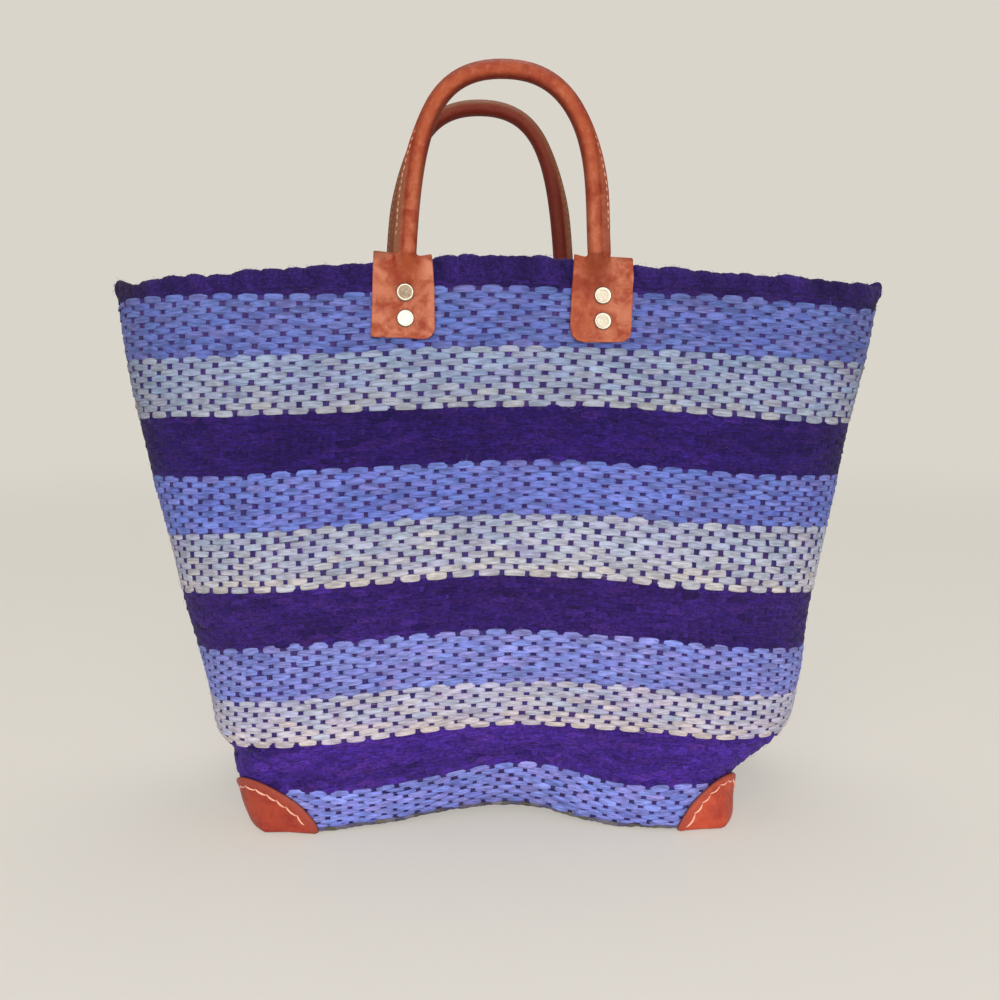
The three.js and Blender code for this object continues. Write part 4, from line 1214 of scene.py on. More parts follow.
# %% [markdown]
# ### Where the leather lies
#
# The handles turn about the top edge of their tabs, so all their places are worked out from that
# hinge line. The front face of the bag is needed as a height field here, because the CAD model
# lays the tabs on it in the same way. Everything is worked out for the front; the back takes the
# same points with y turned round.

# %% Measures of the handles
LEG_SPACING, HANDLE_RADIUS = 106.0, 5.0
# In HANDLES, "dark" is painted shade over the whole back handle.
HANDLES = {  # middle, distance between the legs, rise of the arch, and which face of the bag
    "front": {"x": -1.2, "spacing": LEG_SPACING, "rise": 98.0, "sign": 1, "bow": 2.4, "dark": 0.0},
    "back": {"x": -13.0, "spacing": LEG_SPACING + 3, "rise": 101.5, "sign": -1, "bow": 0.0,
             "dark": 0.8},
}
SIDES = {"left": -1, "right": 1}
TAB_HEIGHT, TAB_LEATHER, NECK_LENGTH = 48.0, 2.4, 15.0
SEAM_REACH, SEAM_THICKNESS = 3.1, 3.4
ROLL_RADIUS = 4.4  # where the seam is widest; at the top of the arch the roll fills the whole strip
CLEARANCE, BINDING_WALL = 0.3, 1.7
ACROSS_BAG = np.array([0, 1.0, 0])


def rim_top(x):
    return RIM_HEIGHT - 12 * (2 * x / MOUTH_WIDTH) ** 2


HINGE_Z = rim_top(LEG_SPACING / 2) + 2
print("hinge lines at", round(HINGE_Z, 1), "mm")


# %% The face under the leather
def front_y(x, z):
    """The front face of the body as a height field."""
    x, z = np.broadcast_arrays(np.asarray(x, float), np.asarray(z, float))
    rise = z.copy()
    for _ in range(30):
        width, depth, square, droop, peak, dent, lean = np.moveaxis(section(rise), -1, 0)
        ux = 2 * (x - lean) / width
        rise = z + droop * (1 - np.maximum(0, 1 - ux * ux) ** peak)
    across = (1 - np.abs(ux) ** square) ** (1 / square)
    return -((depth / 2) * across - dent * (1 - ux * ux) ** 3)


def tab_back(x, z):
    """How far the back of a tab stands off the face: it climbs over the binding near the rim."""
    start = rim_top(x) - 17.2
    return CLEARANCE + (CLEARANCE + BINDING_WALL) * smooth((z - start) / 6)


def leg_of(handle, side):
    return handle["x"] + side * handle["spacing"] / 2


def hinge_of(handle):
    legs = np.array([leg_of(handle, -1), leg_of(handle, 1)])
    faces = front_y(legs, HINGE_Z) - tab_back(legs, HINGE_Z)
    return np.array([handle["x"], faces.mean() - HANDLE_RADIUS, HINGE_Z])


def tab_front(x, z, leg_x, hinge):
    """How far the front of a tab stands off the face: its neck swells into the roll."""
    across = np.minimum(1, np.abs(x - leg_x) / (2 * HANDLE_RADIUS * 0.95))
    back = front_y(leg_x, HINGE_Z) - tab_back(leg_x, HINGE_Z)
    roll = back - hinge[1] + ROLL_RADIUS
    swell = (roll - TAB_LEATHER) * np.cos(across * np.pi / 2) ** 2
    return tab_back(x, z) + TAB_LEATHER + swell * smooth(1 - (HINGE_Z - z) / NECK_LENGTH)


print("front hinge at", hinge_of(HANDLES["front"]).round(1))


# %% The line of a handle
def handle_path(handle, samples):
    """Centreline across and above the hinge line, evenly spaced, its tangents and its length."""
    half, top = handle["spacing"] / 2, handle["rise"]
    t = np.linspace(0, 1, 400)[:, None]
    a, b, c, d = (np.array(p, float) for p in (
        (-half, 0), (4.5 - half, top * 0.67), (13 - half, top), (0, top)))
    left = (1 - t) ** 3 * a + 3 * (1 - t) ** 2 * t * b + 3 * (1 - t) * t**2 * c + t**3 * d
    path = np.vstack([left, (left * [-1, 1])[::-1][1:]])
    height = path[:, 1] / top
    bowed = smooth(height / 0.6) * smooth((1.12 - height) / 0.5) * smooth(path[:, 0] / 20)
    path[:, 0] += handle["bow"] * bowed
    run = travelled(path)
    even = np.linspace(0, run[-1], samples)
    p = np.stack([np.interp(even, run, path[:, 0]), np.interp(even, run, path[:, 1])], -1)
    return p, unit(np.gradient(p, axis=0)), run[-1]


def strip_at(handle, height):
    """Radius of the roll, and how far the seam reaches from the line, at a height of the arch."""
    rise = handle["rise"]
    low = smooth((0.78 * rise - height) / (0.5 * rise))
    return between(HANDLE_RADIUS, ROLL_RADIUS, low), HANDLE_RADIUS + between(0.3, SEAM_REACH, low)


def placed(hinge, path):
    """A line across and above the hinge, as points in space."""
    return np.stack([hinge[0] + path[:, 0], np.full(len(path), hinge[1]), hinge[2] + path[:, 1]], -1)


def outward(tangent):
    """From the handle's line away from the middle of the arch."""
    return np.stack([-tangent[:, 1], np.zeros(len(tangent)), tangent[:, 0]], -1)


print("front handle is", round(handle_path(HANDLES["front"], 9)[2]), "mm long over the arch")

# %% [markdown]
# ### Handles
#
# A handle and its two tabs are one strip of leather: its middle is rolled round a cord and
# stitched along the outer side, and its ends open out flat. So one skin is made of them, from a
# tube, a seam strip, and two sheets that swell into the roll, melted together on a fine voxel grid
# and smoothed. Boolean unions would join them too, but with hard creases where they meet.

# %% Melting parts into one skin
def fuse(name, parts, voxel, smoothing, material):
    """One object from closed (points, faces) parts, melted on a voxel grid and smoothed."""
    points, faces, start = [], [], 0
    for p, f in parts:
        points.append(p)
        faces += [tuple(int(i) + start for i in quad) for quad in f]
        start += len(p)
    rough = make_mesh(name + "_parts", np.vstack(points), faces)
    remesh = rough.modifiers.new("melt", "REMESH")
    remesh.mode = "VOXEL"
    remesh.voxel_size = voxel / 1000
    even = rough.modifiers.new("even", "SMOOTH")
    even.factor = 0.5
    even.iterations = smoothing
    bpy.context.view_layer.update()
    graph = bpy.context.evaluated_depsgraph_get()
    melted = bpy.data.meshes.new_from_object(rough.evaluated_get(graph))
    bpy.data.objects.remove(rough)
    obj = bpy.data.objects.new(name, melted)
    bpy.context.scene.collection.objects.link(obj)
    melted.polygons.foreach_set("use_smooth", [True] * len(melted.polygons))
    melted.materials.clear()
    melted.materials.append(material)
    print(name, "faces", len(melted.polygons))
    return obj


# %% Closed tubes and sheets
def tube(path, tangents, side, radius, sides=24):
    """Closed tube round a path, with flat caps; side is the plane's normal."""
    ring = circle(unit(np.cross(tangents, side)), side, sides)
    points = path[:, None] + radius[:, None, None] * ring
    return points.reshape(-1, 3), tube_faces(len(path), sides)


def slab(front, back):
    """Closed sheet between two grids of equal shape."""
    rows, cols = front.shape[:2]
    points = np.concatenate([front.reshape(-1, 3), back.reshape(-1, 3)])
    n = rows * cols
    grid = grid_faces(rows, cols)
    faces = [tuple(q) for q in grid] + [tuple(q[::-1] + n) for q in grid]
    rim = ([(0, c) for c in range(cols)] + [(r, cols - 1) for r in range(1, rows)]
           + [(rows - 1, c) for c in range(cols - 2, -1, -1)] + [(r, 0) for r in range(rows - 2, 0, -1)])
    ids = [r * cols + c for r, c in rim]
    faces += [(ids[i - 1], ids[i - 1] + n, ids[i] + n, ids[i]) for i in range(len(ids))]
    return points, faces


square = np.zeros((3, 3, 3))
print("a sheet of 3 by 3 points has", len(slab(square, square)[1]), "faces")

# %% [markdown]
# The tabs were cut by hand, so no two edges match: each is narrower at the top, one corner of the
# left tab is nearly square, and the top edge dips beside the roll while its corners curl forward.
# The distances below were read off the photograph, from the middle of each leg. A curve drawn over
# the picture would give the outline too, but not tied to the leg that it has to follow.

# %% Outline of the tabs
TAB_CUT = {  # height and distance of each edge, radius of the corners, foot and top beside the roll
    -1: {"outer": [(0, 21.7), (13, 20.9), (30, 20.3), (44, 19.7), (50, 19.1)],
         "inner": [(0, 15.1), (30, 14.7), (40, 14.1), (50, 13.1)],
         "corner": (1.5, 7.0), "foot": (1.4, 0.1), "top": (-0.5, -1.4, 0.4, 1.5)},
    1: {"outer": [(0, 20.3), (13, 20.9), (24, 21.5), (38, 21.8), (50, 20.9)],
        "inner": [(0, 14.2), (12, 14.5), (26, 13.7), (40, 12.8), (50, 12.3)],
        "corner": (6.0, 7.5), "foot": (-1.6, -1.6), "top": (-0.3, -1.7, -1.5, -2.4)},
}
TAB_ACROSS, TAB_UP = 48, 64


def tab_grid(hinge, leg_x, side, stand_off):
    """The front or back of a tab as a grid; stand_off says how far it lies off the face."""
    cut = TAB_CUT[side]
    outwards = np.linspace(-1, 1, TAB_ACROSS)[None] * side
    foot = -TAB_HEIGHT + between(cut["foot"][1], cut["foot"][0], (outwards + 1) / 2)
    top = np.interp(outwards, [-1, -0.5, 0.4, 1], cut["top"])
    z = between(foot, top, np.linspace(0, 1, TAB_UP)[:, None])
    height = z - foot
    x = 0 * z
    for way, edge, radius in ((1, "outer", cut["corner"][0]), (-1, "inner", cut["corner"][1])):
        reach = np.interp(height, *np.array(cut[edge], float).T)
        reach = reach - radius + np.sqrt(radius**2 - np.clip(radius - height, 0, radius) ** 2)
        x = np.where(outwards * way > 0, outwards * reach, x)
    x, z = leg_x + side * x, hinge[2] + z
    curl = 1.7 * smooth((np.abs(outwards) - 0.5) / 0.4) * smooth((height - 41) / 8)
    return np.stack([x, front_y(x, z) - stand_off(x, z) - curl, z], -1)


def tab(hinge, leg_x, side):
    """A tab as a closed sheet."""
    front = tab_grid(hinge, leg_x, side, lambda x, z: tab_front(x, z, leg_x, hinge))
    return slab(front, tab_grid(hinge, leg_x, side, tab_back))


print("a tab is", TAB_ACROSS, "by", TAB_UP, "points on each side")

# %% [markdown]
# The seam is the two edges of the strip, sewn together, so it stands out from the roll as a thin
# lip on the outer side of the arch. It could end square at the hinge, but on the bag it thins out
# there and runs on behind the face of the tab.

# %% Parts of a handle
PATH_SAMPLES = 150
SEAM_ENDS = ((0.35, 2.4, 5.0), (0.8, 0.7, 2.0))  # share of its thickness, how far back and down


def seam_lip(centre, out, reach):
    near, far = centre + out * 2.5, centre + out * reach[:, None]
    thick = np.array([0, SEAM_THICKNESS / 2, 0])
    lip = np.stack([near - thick, far - thick, far + thick, near + thick], 1)
    flat = lip.mean(1, keepdims=True) * [0, 1, 0]
    last, next_to_last = (lip * [1, share, 1] + flat * (1 - share) + [0, back, -drop]
                          for share, back, drop in SEAM_ENDS)
    lip = np.vstack([last[:1], next_to_last[:1], lip, next_to_last[-1:], last[-1:]])
    return lip.reshape(-1, 3), tube_faces(len(lip), 4)


def handle_parts(handle):
    """The roll, its seam and both tabs, each of them closed, on the front of the bag."""
    hinge = hinge_of(handle)
    path, tangent, _ = handle_path(handle, PATH_SAMPLES)
    radius, reach = strip_at(handle, path[:, 1])
    centre, out = placed(hinge, path), outward(tangent)
    along = np.stack([tangent[:, 0], np.zeros(len(path)), tangent[:, 1]], -1)
    core = centre - out * (HANDLE_RADIUS - radius)[:, None]
    dip = np.array([0, 0, 0.8])  # the roll starts a little below the hinge
    core = np.vstack([core[:1] - dip, core, core[-1:] - dip])
    along, radius = (np.concatenate([v[:1], v, v[-1:]]) for v in (along, radius))
    tabs = [tab(hinge, leg_of(handle, side), side) for side in SIDES.values()]
    return [tube(core, along, ACROSS_BAG, radius), seam_lip(centre, out, reach), *tabs]


print("a handle is melted from", len(handle_parts(HANDLES["front"])), "parts")


# %% [markdown]
# Leather ages where it is touched: the tabs are worn pale on their outer halves, and the raw edge
# shows along the seam. Light is painted on as well: the sides and underside of the roll are darker
# as painted shade, most under the top of the grip; the back handle is painted darker all over, most
# on its inner side and lower right leg; the curled top corners of the tabs get painted shade; and
# pale painted highlights lie beside the neck and on the lower legs of the front roll. Each of these
# is a soft step over the height, or over the distance from the handle's line. Painting by hand could
# look as good, but numbers can be compared with the photograph one at a time.

# %% Distance from the line of a handle
def offset_from(handle, u, w):
    """How far outward of the handle's line each point lies."""
    path, tangent, _ = handle_path(handle, PATH_SAMPLES)
    nearest, offset = np.full(len(u), 1e9), np.zeros(len(u))
    for (path_u, path_w), (along_u, along_w) in zip(path, tangent):
        distance = (u - path_u) ** 2 + (w - path_w) ** 2
        closer = distance < nearest
        nearest = np.where(closer, distance, nearest)
        offset = np.where(closer, -along_w * (u - path_u) + along_u * (w - path_w), offset)
    return offset


between_legs = offset_from(HANDLES["front"], np.zeros(1), np.zeros(1))
print("the point between the legs lies", -between_legs.round(1), "mm inside the line")


# %% Wear and painted light of a handle
def handle_wear_and_painted_light(which, points):
    """Where the leather of a handle is raw, dark and pale."""
    handle, hinge = HANDLES[which], hinge_of(HANDLES[which])
    u, w = points[:, 0] - hinge[0], points[:, 2] - hinge[2]
    offset = offset_from(handle, u, w)
    rise, right = handle["rise"], u > 0
    away = np.abs(u - np.where(right, 1, -1) * handle["spacing"] / 2)
    on_tab, on_roll = smooth((1.5 - w) / 2), smooth((w + 0.5) / 1.5)
    seam = smooth((offset - 4.2) / 0.8) * on_roll * smooth((0.66 * rise - w) / (0.3 * rise))
    raw = seam * np.where(right, 0.25, 0.9)
    if which == "back":
        low_right = right * smooth((0.75 * rise - w) / (0.4 * rise))
        raw = np.maximum(0.5 * raw, 0.75 * smooth((offset - 0.8 - 2.6 * low_right) / 2.4) * on_roll)
    # the painted shade of the back handle lies mostly on its inner side
    inner_side = smooth((points[:, 1] - hinge[1] + 3) / 6)
    neck = np.exp(-((away / 8.5) ** 2)) * smooth((w + 28) / 14) * on_tab
    # painted shade at the curled top corners of the tabs
    corner = smooth((away - 9) / 5) * smooth((w + 6) / 4) * on_tab
    high = smooth((w - 0.15 * rise) / (0.5 * rise))
    # painted shade on the sides of the roll, most on the underside under the top of the grip
    under, over = smooth((-offset - 1.4) / 3.0), smooth((offset - 1.4) / 3.0)
    roll_side_shade = (0.35 + 0.5 * high) * under + 0.4 * over
    dark = ((roll_side_shade + handle["dark"] * (0.3 + 0.7 * inner_side)) * on_roll
            + np.where(right, 0.5, 0.15) * neck + 0.4 * corner)
    # more painted shade on the lower right leg of the back handle
    dark = dark + handle["dark"] * right * (1 - high) * on_roll
    outer_half = smooth((u * np.where(right, 1, -1) - handle["spacing"] / 2 + 4) / 14)
    # painted highlights: pale spots beside the neck where the leather folds, and a paler lower roll,
    # mostly on the front handle
    fold = np.exp(-((away - 11.5) / 3) ** 2 - ((w + 9) / 5) ** 2) * on_tab  # beside the neck
    tab_wear_and_highlight = np.where(right, 0.15 + 0.45 * outer_half, 0.7) * on_tab * (1 - neck) + 0.5 * fold
    pale = tab_wear_and_highlight + 0.3 * (1 - high) * on_roll * (1 - handle["dark"])
    return raw, np.clip(dark, 0, 0.95), pale


# %% Leather of both handles
def handle_leather(which):
    turned_round = [1, HANDLES[which]["sign"], 1]
    parts = [(points * turned_round, faces) for points, faces in handle_parts(HANDLES[which])]
    obj = fuse(f"{which}_handle_leather", parts, 0.5, 4, HANDLE_LEATHER)
    wear_and_light = handle_wear_and_painted_light(which, coordinates(obj) * turned_round)
    for name, values in zip(("raw", "dark", "pale"), wear_and_light):
        point_attribute(obj, name, "FLOAT", values)
    hinge = hinge_of(HANDLES[which]) * turned_round / 1000
    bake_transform(obj)
    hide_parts(f"{which}_handle_cover", f"{which}_left_tab", f"{which}_right_tab")


for which in HANDLES:
    handle_leather(which)

# %% [markdown]
# ### Stitches and cord
#
# Threads are short tubes. Each stitch rises out of its hole, lies on the leather and goes down
# into the next, so a seam looks like a row of grains. One long thread that dives through the
# leather would be truer, but what lies inside is never seen.

# %% Stitches
STITCH_SIDES, STITCH_SAMPLES = 8, 9


def stitches(name, runs, radius, material, body, arch=0.35, bow=0.0):
    """runs are (start, end, outward) triples; each becomes one stitch."""
    t = np.linspace(0, 1, STITCH_SAMPLES)
    slim = np.clip(np.sin(np.pi * np.clip(t, 0.06, 0.94)) ** 0.4, 0.3, 1)
    rise = arch * np.sin(np.pi * t) ** 0.6 - 0.25
    points, faces = [], []
    for start, end, out in runs:
        start, end, out = np.asarray(start), np.asarray(end), unit(np.asarray(out))
        across = unit(np.cross(out, unit(end - start)))
        centre = start + (end - start) * t[:, None] + out * rise[:, None]
        centre = centre + across * (bow * np.sin(np.pi * t))[:, None]
        fat = radius * rng.uniform(0.7, 1.15) * slim
        ring = circle(across, out, STITCH_SIDES)
        first = len(points) * STITCH_SAMPLES * STITCH_SIDES
        points.append((centre[:, None] + fat[:, None, None] * ring).reshape(-1, 3))
        faces += tube_faces(STITCH_SAMPLES, STITCH_SIDES, first)
    obj = make_mesh(name, np.vstack(points), faces, material)
    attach(obj, body)
    print(name, len(runs))
    return obj


# %% Stitches of the handles
PITCH, STITCH_LENGTH, SEAM_START = 3.8, 2.7, 9.0  # along the handle
STITCH_INSET = 1.1  # from the cut edge of the seam


def handle_stitches(which):
    handle = HANDLES[which]
    sign, hinge = handle["sign"], hinge_of(handle)
    path, tangent, length = handle_path(handle, 400)
    run = np.linspace(0, length, len(path))
    runs, place = [], SEAM_START
    while place < length - SEAM_START - STITCH_LENGTH:
        ends = []
        for at in (place, place + STITCH_LENGTH):
            p = np.array([np.interp(at, run, path[:, 0]), np.interp(at, run, path[:, 1])])
            d = unit(np.array([np.interp(at, run, tangent[:, 0]), np.interp(at, run, tangent[:, 1])]))
            reach = strip_at(handle, p[1])[1] - STITCH_INSET + rng.normal(0, 0.12)
            ends.append(p + np.array([-d[1], d[0]]) * reach)
        if (ends[0][1] + ends[1][1]) / 2 < handle["rise"] * 0.7:  # none at the top of the arch
            for face_side in (-1, 1):
                y = hinge[1] + face_side * SEAM_THICKNESS / 2
                runs.append([np.array([hinge[0] + e[0], y, hinge[2] + e[1]]) * [1, sign, 1]
                             for e in ends] + [np.array([0, face_side * sign, 0.0])])
        place += PITCH + rng.uniform(-0.3, 0.5)
    obj = stitches(f"{which}_handle_stitches", runs, 0.34, HANDLE_THREAD[which],
                   f"{which}_handle", arch=0.2)


for which in HANDLES:
    handle_stitches(which)

# %% [markdown]
# The roll is filled with a twisted cord of three plies. It is hidden by the leather, but it is
# what makes the handle round. Three ropes wound round each other would show the same outline, so
# one tube whose section has three lobes, turning as it goes, is enough.

# %% Cord inside each handle
CORD_SIDES, CORD_TWIST = 18, 22  # the twist is the length of one whole turn


def handle_cord(which):
    handle = HANDLES[which]
    path, tangent, length = handle_path(handle, 240)
    path, tangent = path[5:-5], tangent[5:-5]  # the cord stops short of the hinge
    out = outward(tangent)
    centre = placed(hinge_of(handle), path)
    centre = centre - out * (HANDLE_RADIUS - strip_at(handle, path[:, 1])[0])[:, None]
    a = 2 * np.pi * np.arange(CORD_SIDES) / CORD_SIDES
    twist = np.linspace(0, 2 * np.pi * length / CORD_TWIST, len(path))[:, None]
    radius = 2.1 + 0.4 * np.abs(np.cos(1.5 * (a[None] + twist)))
    ring = circle(out, ACROSS_BAG, CORD_SIDES)
    points = (centre[:, None] + radius[..., None] * ring) * [1, handle["sign"], 1]
    faces = tube_faces(len(path), CORD_SIDES)
    obj = make_mesh(f"{which}_handle_cord", points.reshape(-1, 3), faces, CORD)
    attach(obj, f"{which}_handle")
    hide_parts(f"{which}_handle_core")
    print(obj.name, "of", round(length), "mm")


for which in HANDLES:
    handle_cord(which)

# %% [markdown]
# ## Rivets
#
# Two rivets hold each tab. Outside is a low pale cap, polished, with a rolled edge; inside is a
# smaller one, over the leather backing that spreads the load on the weave. Each is turned round
# its own axis, which stands square to the face of the bag, and the caps of three of the four rivets
# on each handle lean a little. A screw modifier would turn the profile too. Turning it in code gives
# both halves at once, ready to tilt.
#
# The metal is pale nickel with fine scuffs. Some caps are darker in their dished middle, as a painted
# reflection; the posts inside are evenly tarnished.

# %% Nickel
nickel = Shader("pale_nickel")
scuffs = nickel.noise(nickel.here(), scale=0.9, detail=5, roughness=0.7)
# darker and rougher where the mesh says: a painted reflection in the caps, tarnish on the posts
tarnish = nickel.math(
    "MULTIPLY", nickel.attribute("tarnish", "Fac"), nickel.remap(scuffs, 0.2, 0.6, 0.7, 1))
gleam = nickel.math(
    "ADD", nickel.math("MULTIPLY", tarnish, 0.14), nickel.remap(scuffs, 0.3, 0.75, 0.2, 0.34))
NICKEL = nickel.finish(nickel.mix(srgb(157, 153, 140), srgb(104, 90, 74), tarnish), gleam,
                       nickel.bump(scuffs, 0.015), Metallic=1.0)
print("metal:", NICKEL.name)

# %% Measures of the rivets
RIVET_OUTWARD = {-1: 1.5, 1: 4.0}
RIVET_DROPS = {-1: {"upper": 22.3, "lower": 36.6}, 1: {"upper": 23.8, "lower": 38.1}}
RIVET_TILT = {  # degrees aside and down
    ("left", "upper"): (-4, -6), ("right", "upper"): (1, 1.5), ("right", "lower"): (-1, 0.5)}
# how dark the dished middle of each cap is, as a painted reflection
CAP_PAINTED_REFLECTION = {("left", "upper"): 1.0, ("left", "lower"): 0.0,
           ("right", "upper"): 0.5, ("right", "lower"): 0.45}
BACKING_LEATHER = 1.8
INNER_STACK = WEAVE_THICKNESS + CLEARANCE + BACKING_LEATHER + 2 * CLEARANCE
CAP = [  # radius, and height over the leather that the cap is set on
    (1.7, -0.6), (4.7, -0.6), (5, 0.1), (5, 0.7), (4.85, 1.05), (4.5, 1.28), (4.15, 1.3), (3.8, 1.22),
    (3.4, 1.2), (2.6, 1.22), (2.2, 1.27), (1.7, 1.2), (1.0, 1.26), (0.05, 1.28)]
POST = [  # radius, and height over the inner face of the backing
    (0.05, -1.5), (2.2, -1.45), (3.5, -1.1), (4.1, -0.5), (4.2, 0), (3.9, 0.35), (1.6, 0.35)]
print("a rivet goes", round(INNER_STACK, 1), "mm in, through weave and backing")


# %% Turning and seating a rivet
def turned(profile, sides=40):
    profile = np.asarray(profile, float)
    a = 2 * np.pi * np.arange(sides) / sides
    rings = profile[:, None, 0, None] * np.stack([np.cos(a), np.sin(a), 0 * a], -1)[None]
    rings[..., 2] += profile[:, 1][:, None]
    return rings.reshape(-1, 3), tube_faces(len(profile), sides)


def seat_of(origin, normal, leg_x, hinge):
    """How high the leather stands under the edge of a cap."""
    a = np.linspace(0, 2 * np.pi, 24, endpoint=False)
    x, z = origin[0] + 6 * np.cos(a), origin[2] + 6 * np.sin(a)
    round_it = np.stack([x, front_y(x, z) - tab_front(x, z, leg_x, hinge), z], -1)
    return max((round_it - origin) @ normal) + 0.05


print("a cap has", len(turned(CAP)[0]), "points")


# %% Rivets
def rivet(which, side_name, level):
    handle, side = HANDLES[which], SIDES[side_name]
    sign, leg_x = handle["sign"], leg_of(handle, side)
    x, z = leg_x + side * RIVET_OUTWARD[side], HINGE_Z - RIVET_DROPS[side][level]
    origin = np.array([x, float(front_y(x, z)), z])
    slope_x = float(front_y(x + 2, z) - front_y(x - 2, z)) / 4
    slope_z = float(front_y(x, z + 2) - front_y(x, z - 2)) / 4
    normal = unit(np.array([slope_x, -1, slope_z]))
    seat = seat_of(origin, normal, leg_x, hinge_of(handle))
    cap, faces = turned([(1.7, -1)] + [(radius, seat + height) for radius, height in CAP])
    lean = np.tan(np.radians(RIVET_TILT.get((side_name, level), (0, 0))))
    lean = lean * smooth((cap[:, 2:] - seat) / 1.2)
    cap[:, 2] += cap[:, 0] * lean[:, 0] - cap[:, 1] * lean[:, 1]
    post, post_faces = turned([(radius, height - INNER_STACK) for radius, height in POST] + [(1.6, -0.9)])
    faces = faces + [tuple(i + len(cap) for i in q) for q in post_faces]
    axis_x = unit(np.cross([0, 0, 1], normal))
    axis_y = np.cross(normal, axis_x)
    both = np.vstack([cap, post])
    points = origin + both[:, :1] * axis_x + both[:, 1:2] * axis_y + both[:, 2:] * normal
    if sign < 0:
        faces = [f[::-1] for f in faces]
    name = f"{which}_{side_name}_{level}_rivet"
    obj = make_mesh(name, points * [1, sign, 1], faces, NICKEL)
    # the dished middle of a cap is darkened as a painted reflection; the posts get plain tarnish
    disc = smooth((4.3 - np.hypot(cap[:, 0], cap[:, 1])) / 0.8)
    dull = np.concatenate([disc * CAP_PAINTED_REFLECTION[side_name, level], np.full(len(post), 0.5)])
    point_attribute(obj, "tarnish", "FLOAT", dull)
    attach(obj, "root")
    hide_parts(name + "_cap", name + "_post")
    print(name, "stands", round(float(seat), 2), "mm off the weave")


# %% [markdown]
# Inside, behind each tab, lies a small leather patch with round corners, bent to the same face.
# Without it the rivets would pull through the weave. A thick plate cut by a boolean would not
# follow the bend, so both of its sides are laid on the face as grids.

# %% Backings
BACKING_HEIGHT, BACKING_WIDTH, BACKING_CORNER = 28.0, 24.0, 5.0


def backing(which, side_name):
    side, sign = SIDES[side_name], HANDLES[which]["sign"]
    centre = leg_of(HANDLES[which], side) + side * RIVET_OUTWARD[side]
    bottom = HINGE_Z - sum(RIVET_DROPS[side].values()) / 2 - BACKING_HEIGHT / 2
    t = (1 - np.cos(np.linspace(0, np.pi, 30))) / 2
    z = bottom + BACKING_HEIGHT * t[:, None]
    near_end = np.minimum(z - bottom, bottom + BACKING_HEIGHT - z)
    drop = np.maximum(0, BACKING_CORNER - near_end)
    round_off = np.sqrt(np.maximum(0, BACKING_CORNER**2 - drop**2))
    half = BACKING_WIDTH / 2 - BACKING_CORNER + round_off
    x = centre + np.linspace(-1, 1, 26)[None] * half
    z = z + 0 * x
    far = -WEAVE_THICKNESS - CLEARANCE
    front, back = (np.stack([x, front_y(x, z) - depth, z], -1) * [1, sign, 1]
                   for depth in (far, far - BACKING_LEATHER))
    obj = fuse(f"{which}_{side_name}_backing_leather", [slab(front, back)], 0.4, 3, HANDLE_LEATHER)
    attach(obj, "root")
    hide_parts(f"{which}_{side_name}_backing")


for which in HANDLES:
    for side_name in SIDES:
        for level in ("upper", "lower"):
            rivet(which, side_name, level)
        backing(which, side_name)

# %% [markdown]
# ## Corner patches
#
# Each bottom corner is capped by a piece of red-tan leather, folded round from the front to the
# side and under the base, and sewn near its edge with thick pale thread. The patch is drawn on the
# skin of the bag as a disc: rings run out from the very corner to the cut edge, over wall and base
# alike. Smoothing the disc rounds its folds, as wetted leather does. Cloth shrunk onto the corner
# would fold by itself, but its cut edge could not be laid where the photograph has it.

# %% The skin under a patch
PATCH_REACH = {"left": np.array([46.5, 40.0, 33.4]), "right": np.array([40.5, 37.0, 35.5])}
PATCH_SQUARE = {"left": 1.8, "right": 1.6}
PATCH_POINT = {"left": (-141.5, 73.5, 2.8), "right": (131, 79, 2.4)}
PATCH_TURNS, PATCH_RINGS = 160, 34
PATCH_ANGLES = 2 * np.pi * np.arange(PATCH_TURNS) / PATCH_TURNS
RING_SHARES = np.linspace(0.03, 1, PATCH_RINGS)


def skin(corner, a, b):
    """The skin of the bag near a corner: a runs along the foot, b up the wall or into the base."""
    share = corner / ROUND + a / PERIMETERS[0]
    wall = on_wall(BASE_RISE + np.maximum(b, 0), share, 0)
    edge = on_wall(BASE_RISE, share, 0)
    run = np.hypot(edge[..., 0] - BASE_LEAN, edge[..., 1])
    inward = np.clip(1 + np.minimum(b, 0) / run, 0, 1)
    base = np.stack([between(BASE_LEAN, edge[..., 0], inward), edge[..., 1] * inward,
                     between(MIDDLE_LIFT, edge[..., 2], inward**3)], -1)
    return np.where((b >= 0)[..., None], wall, base)


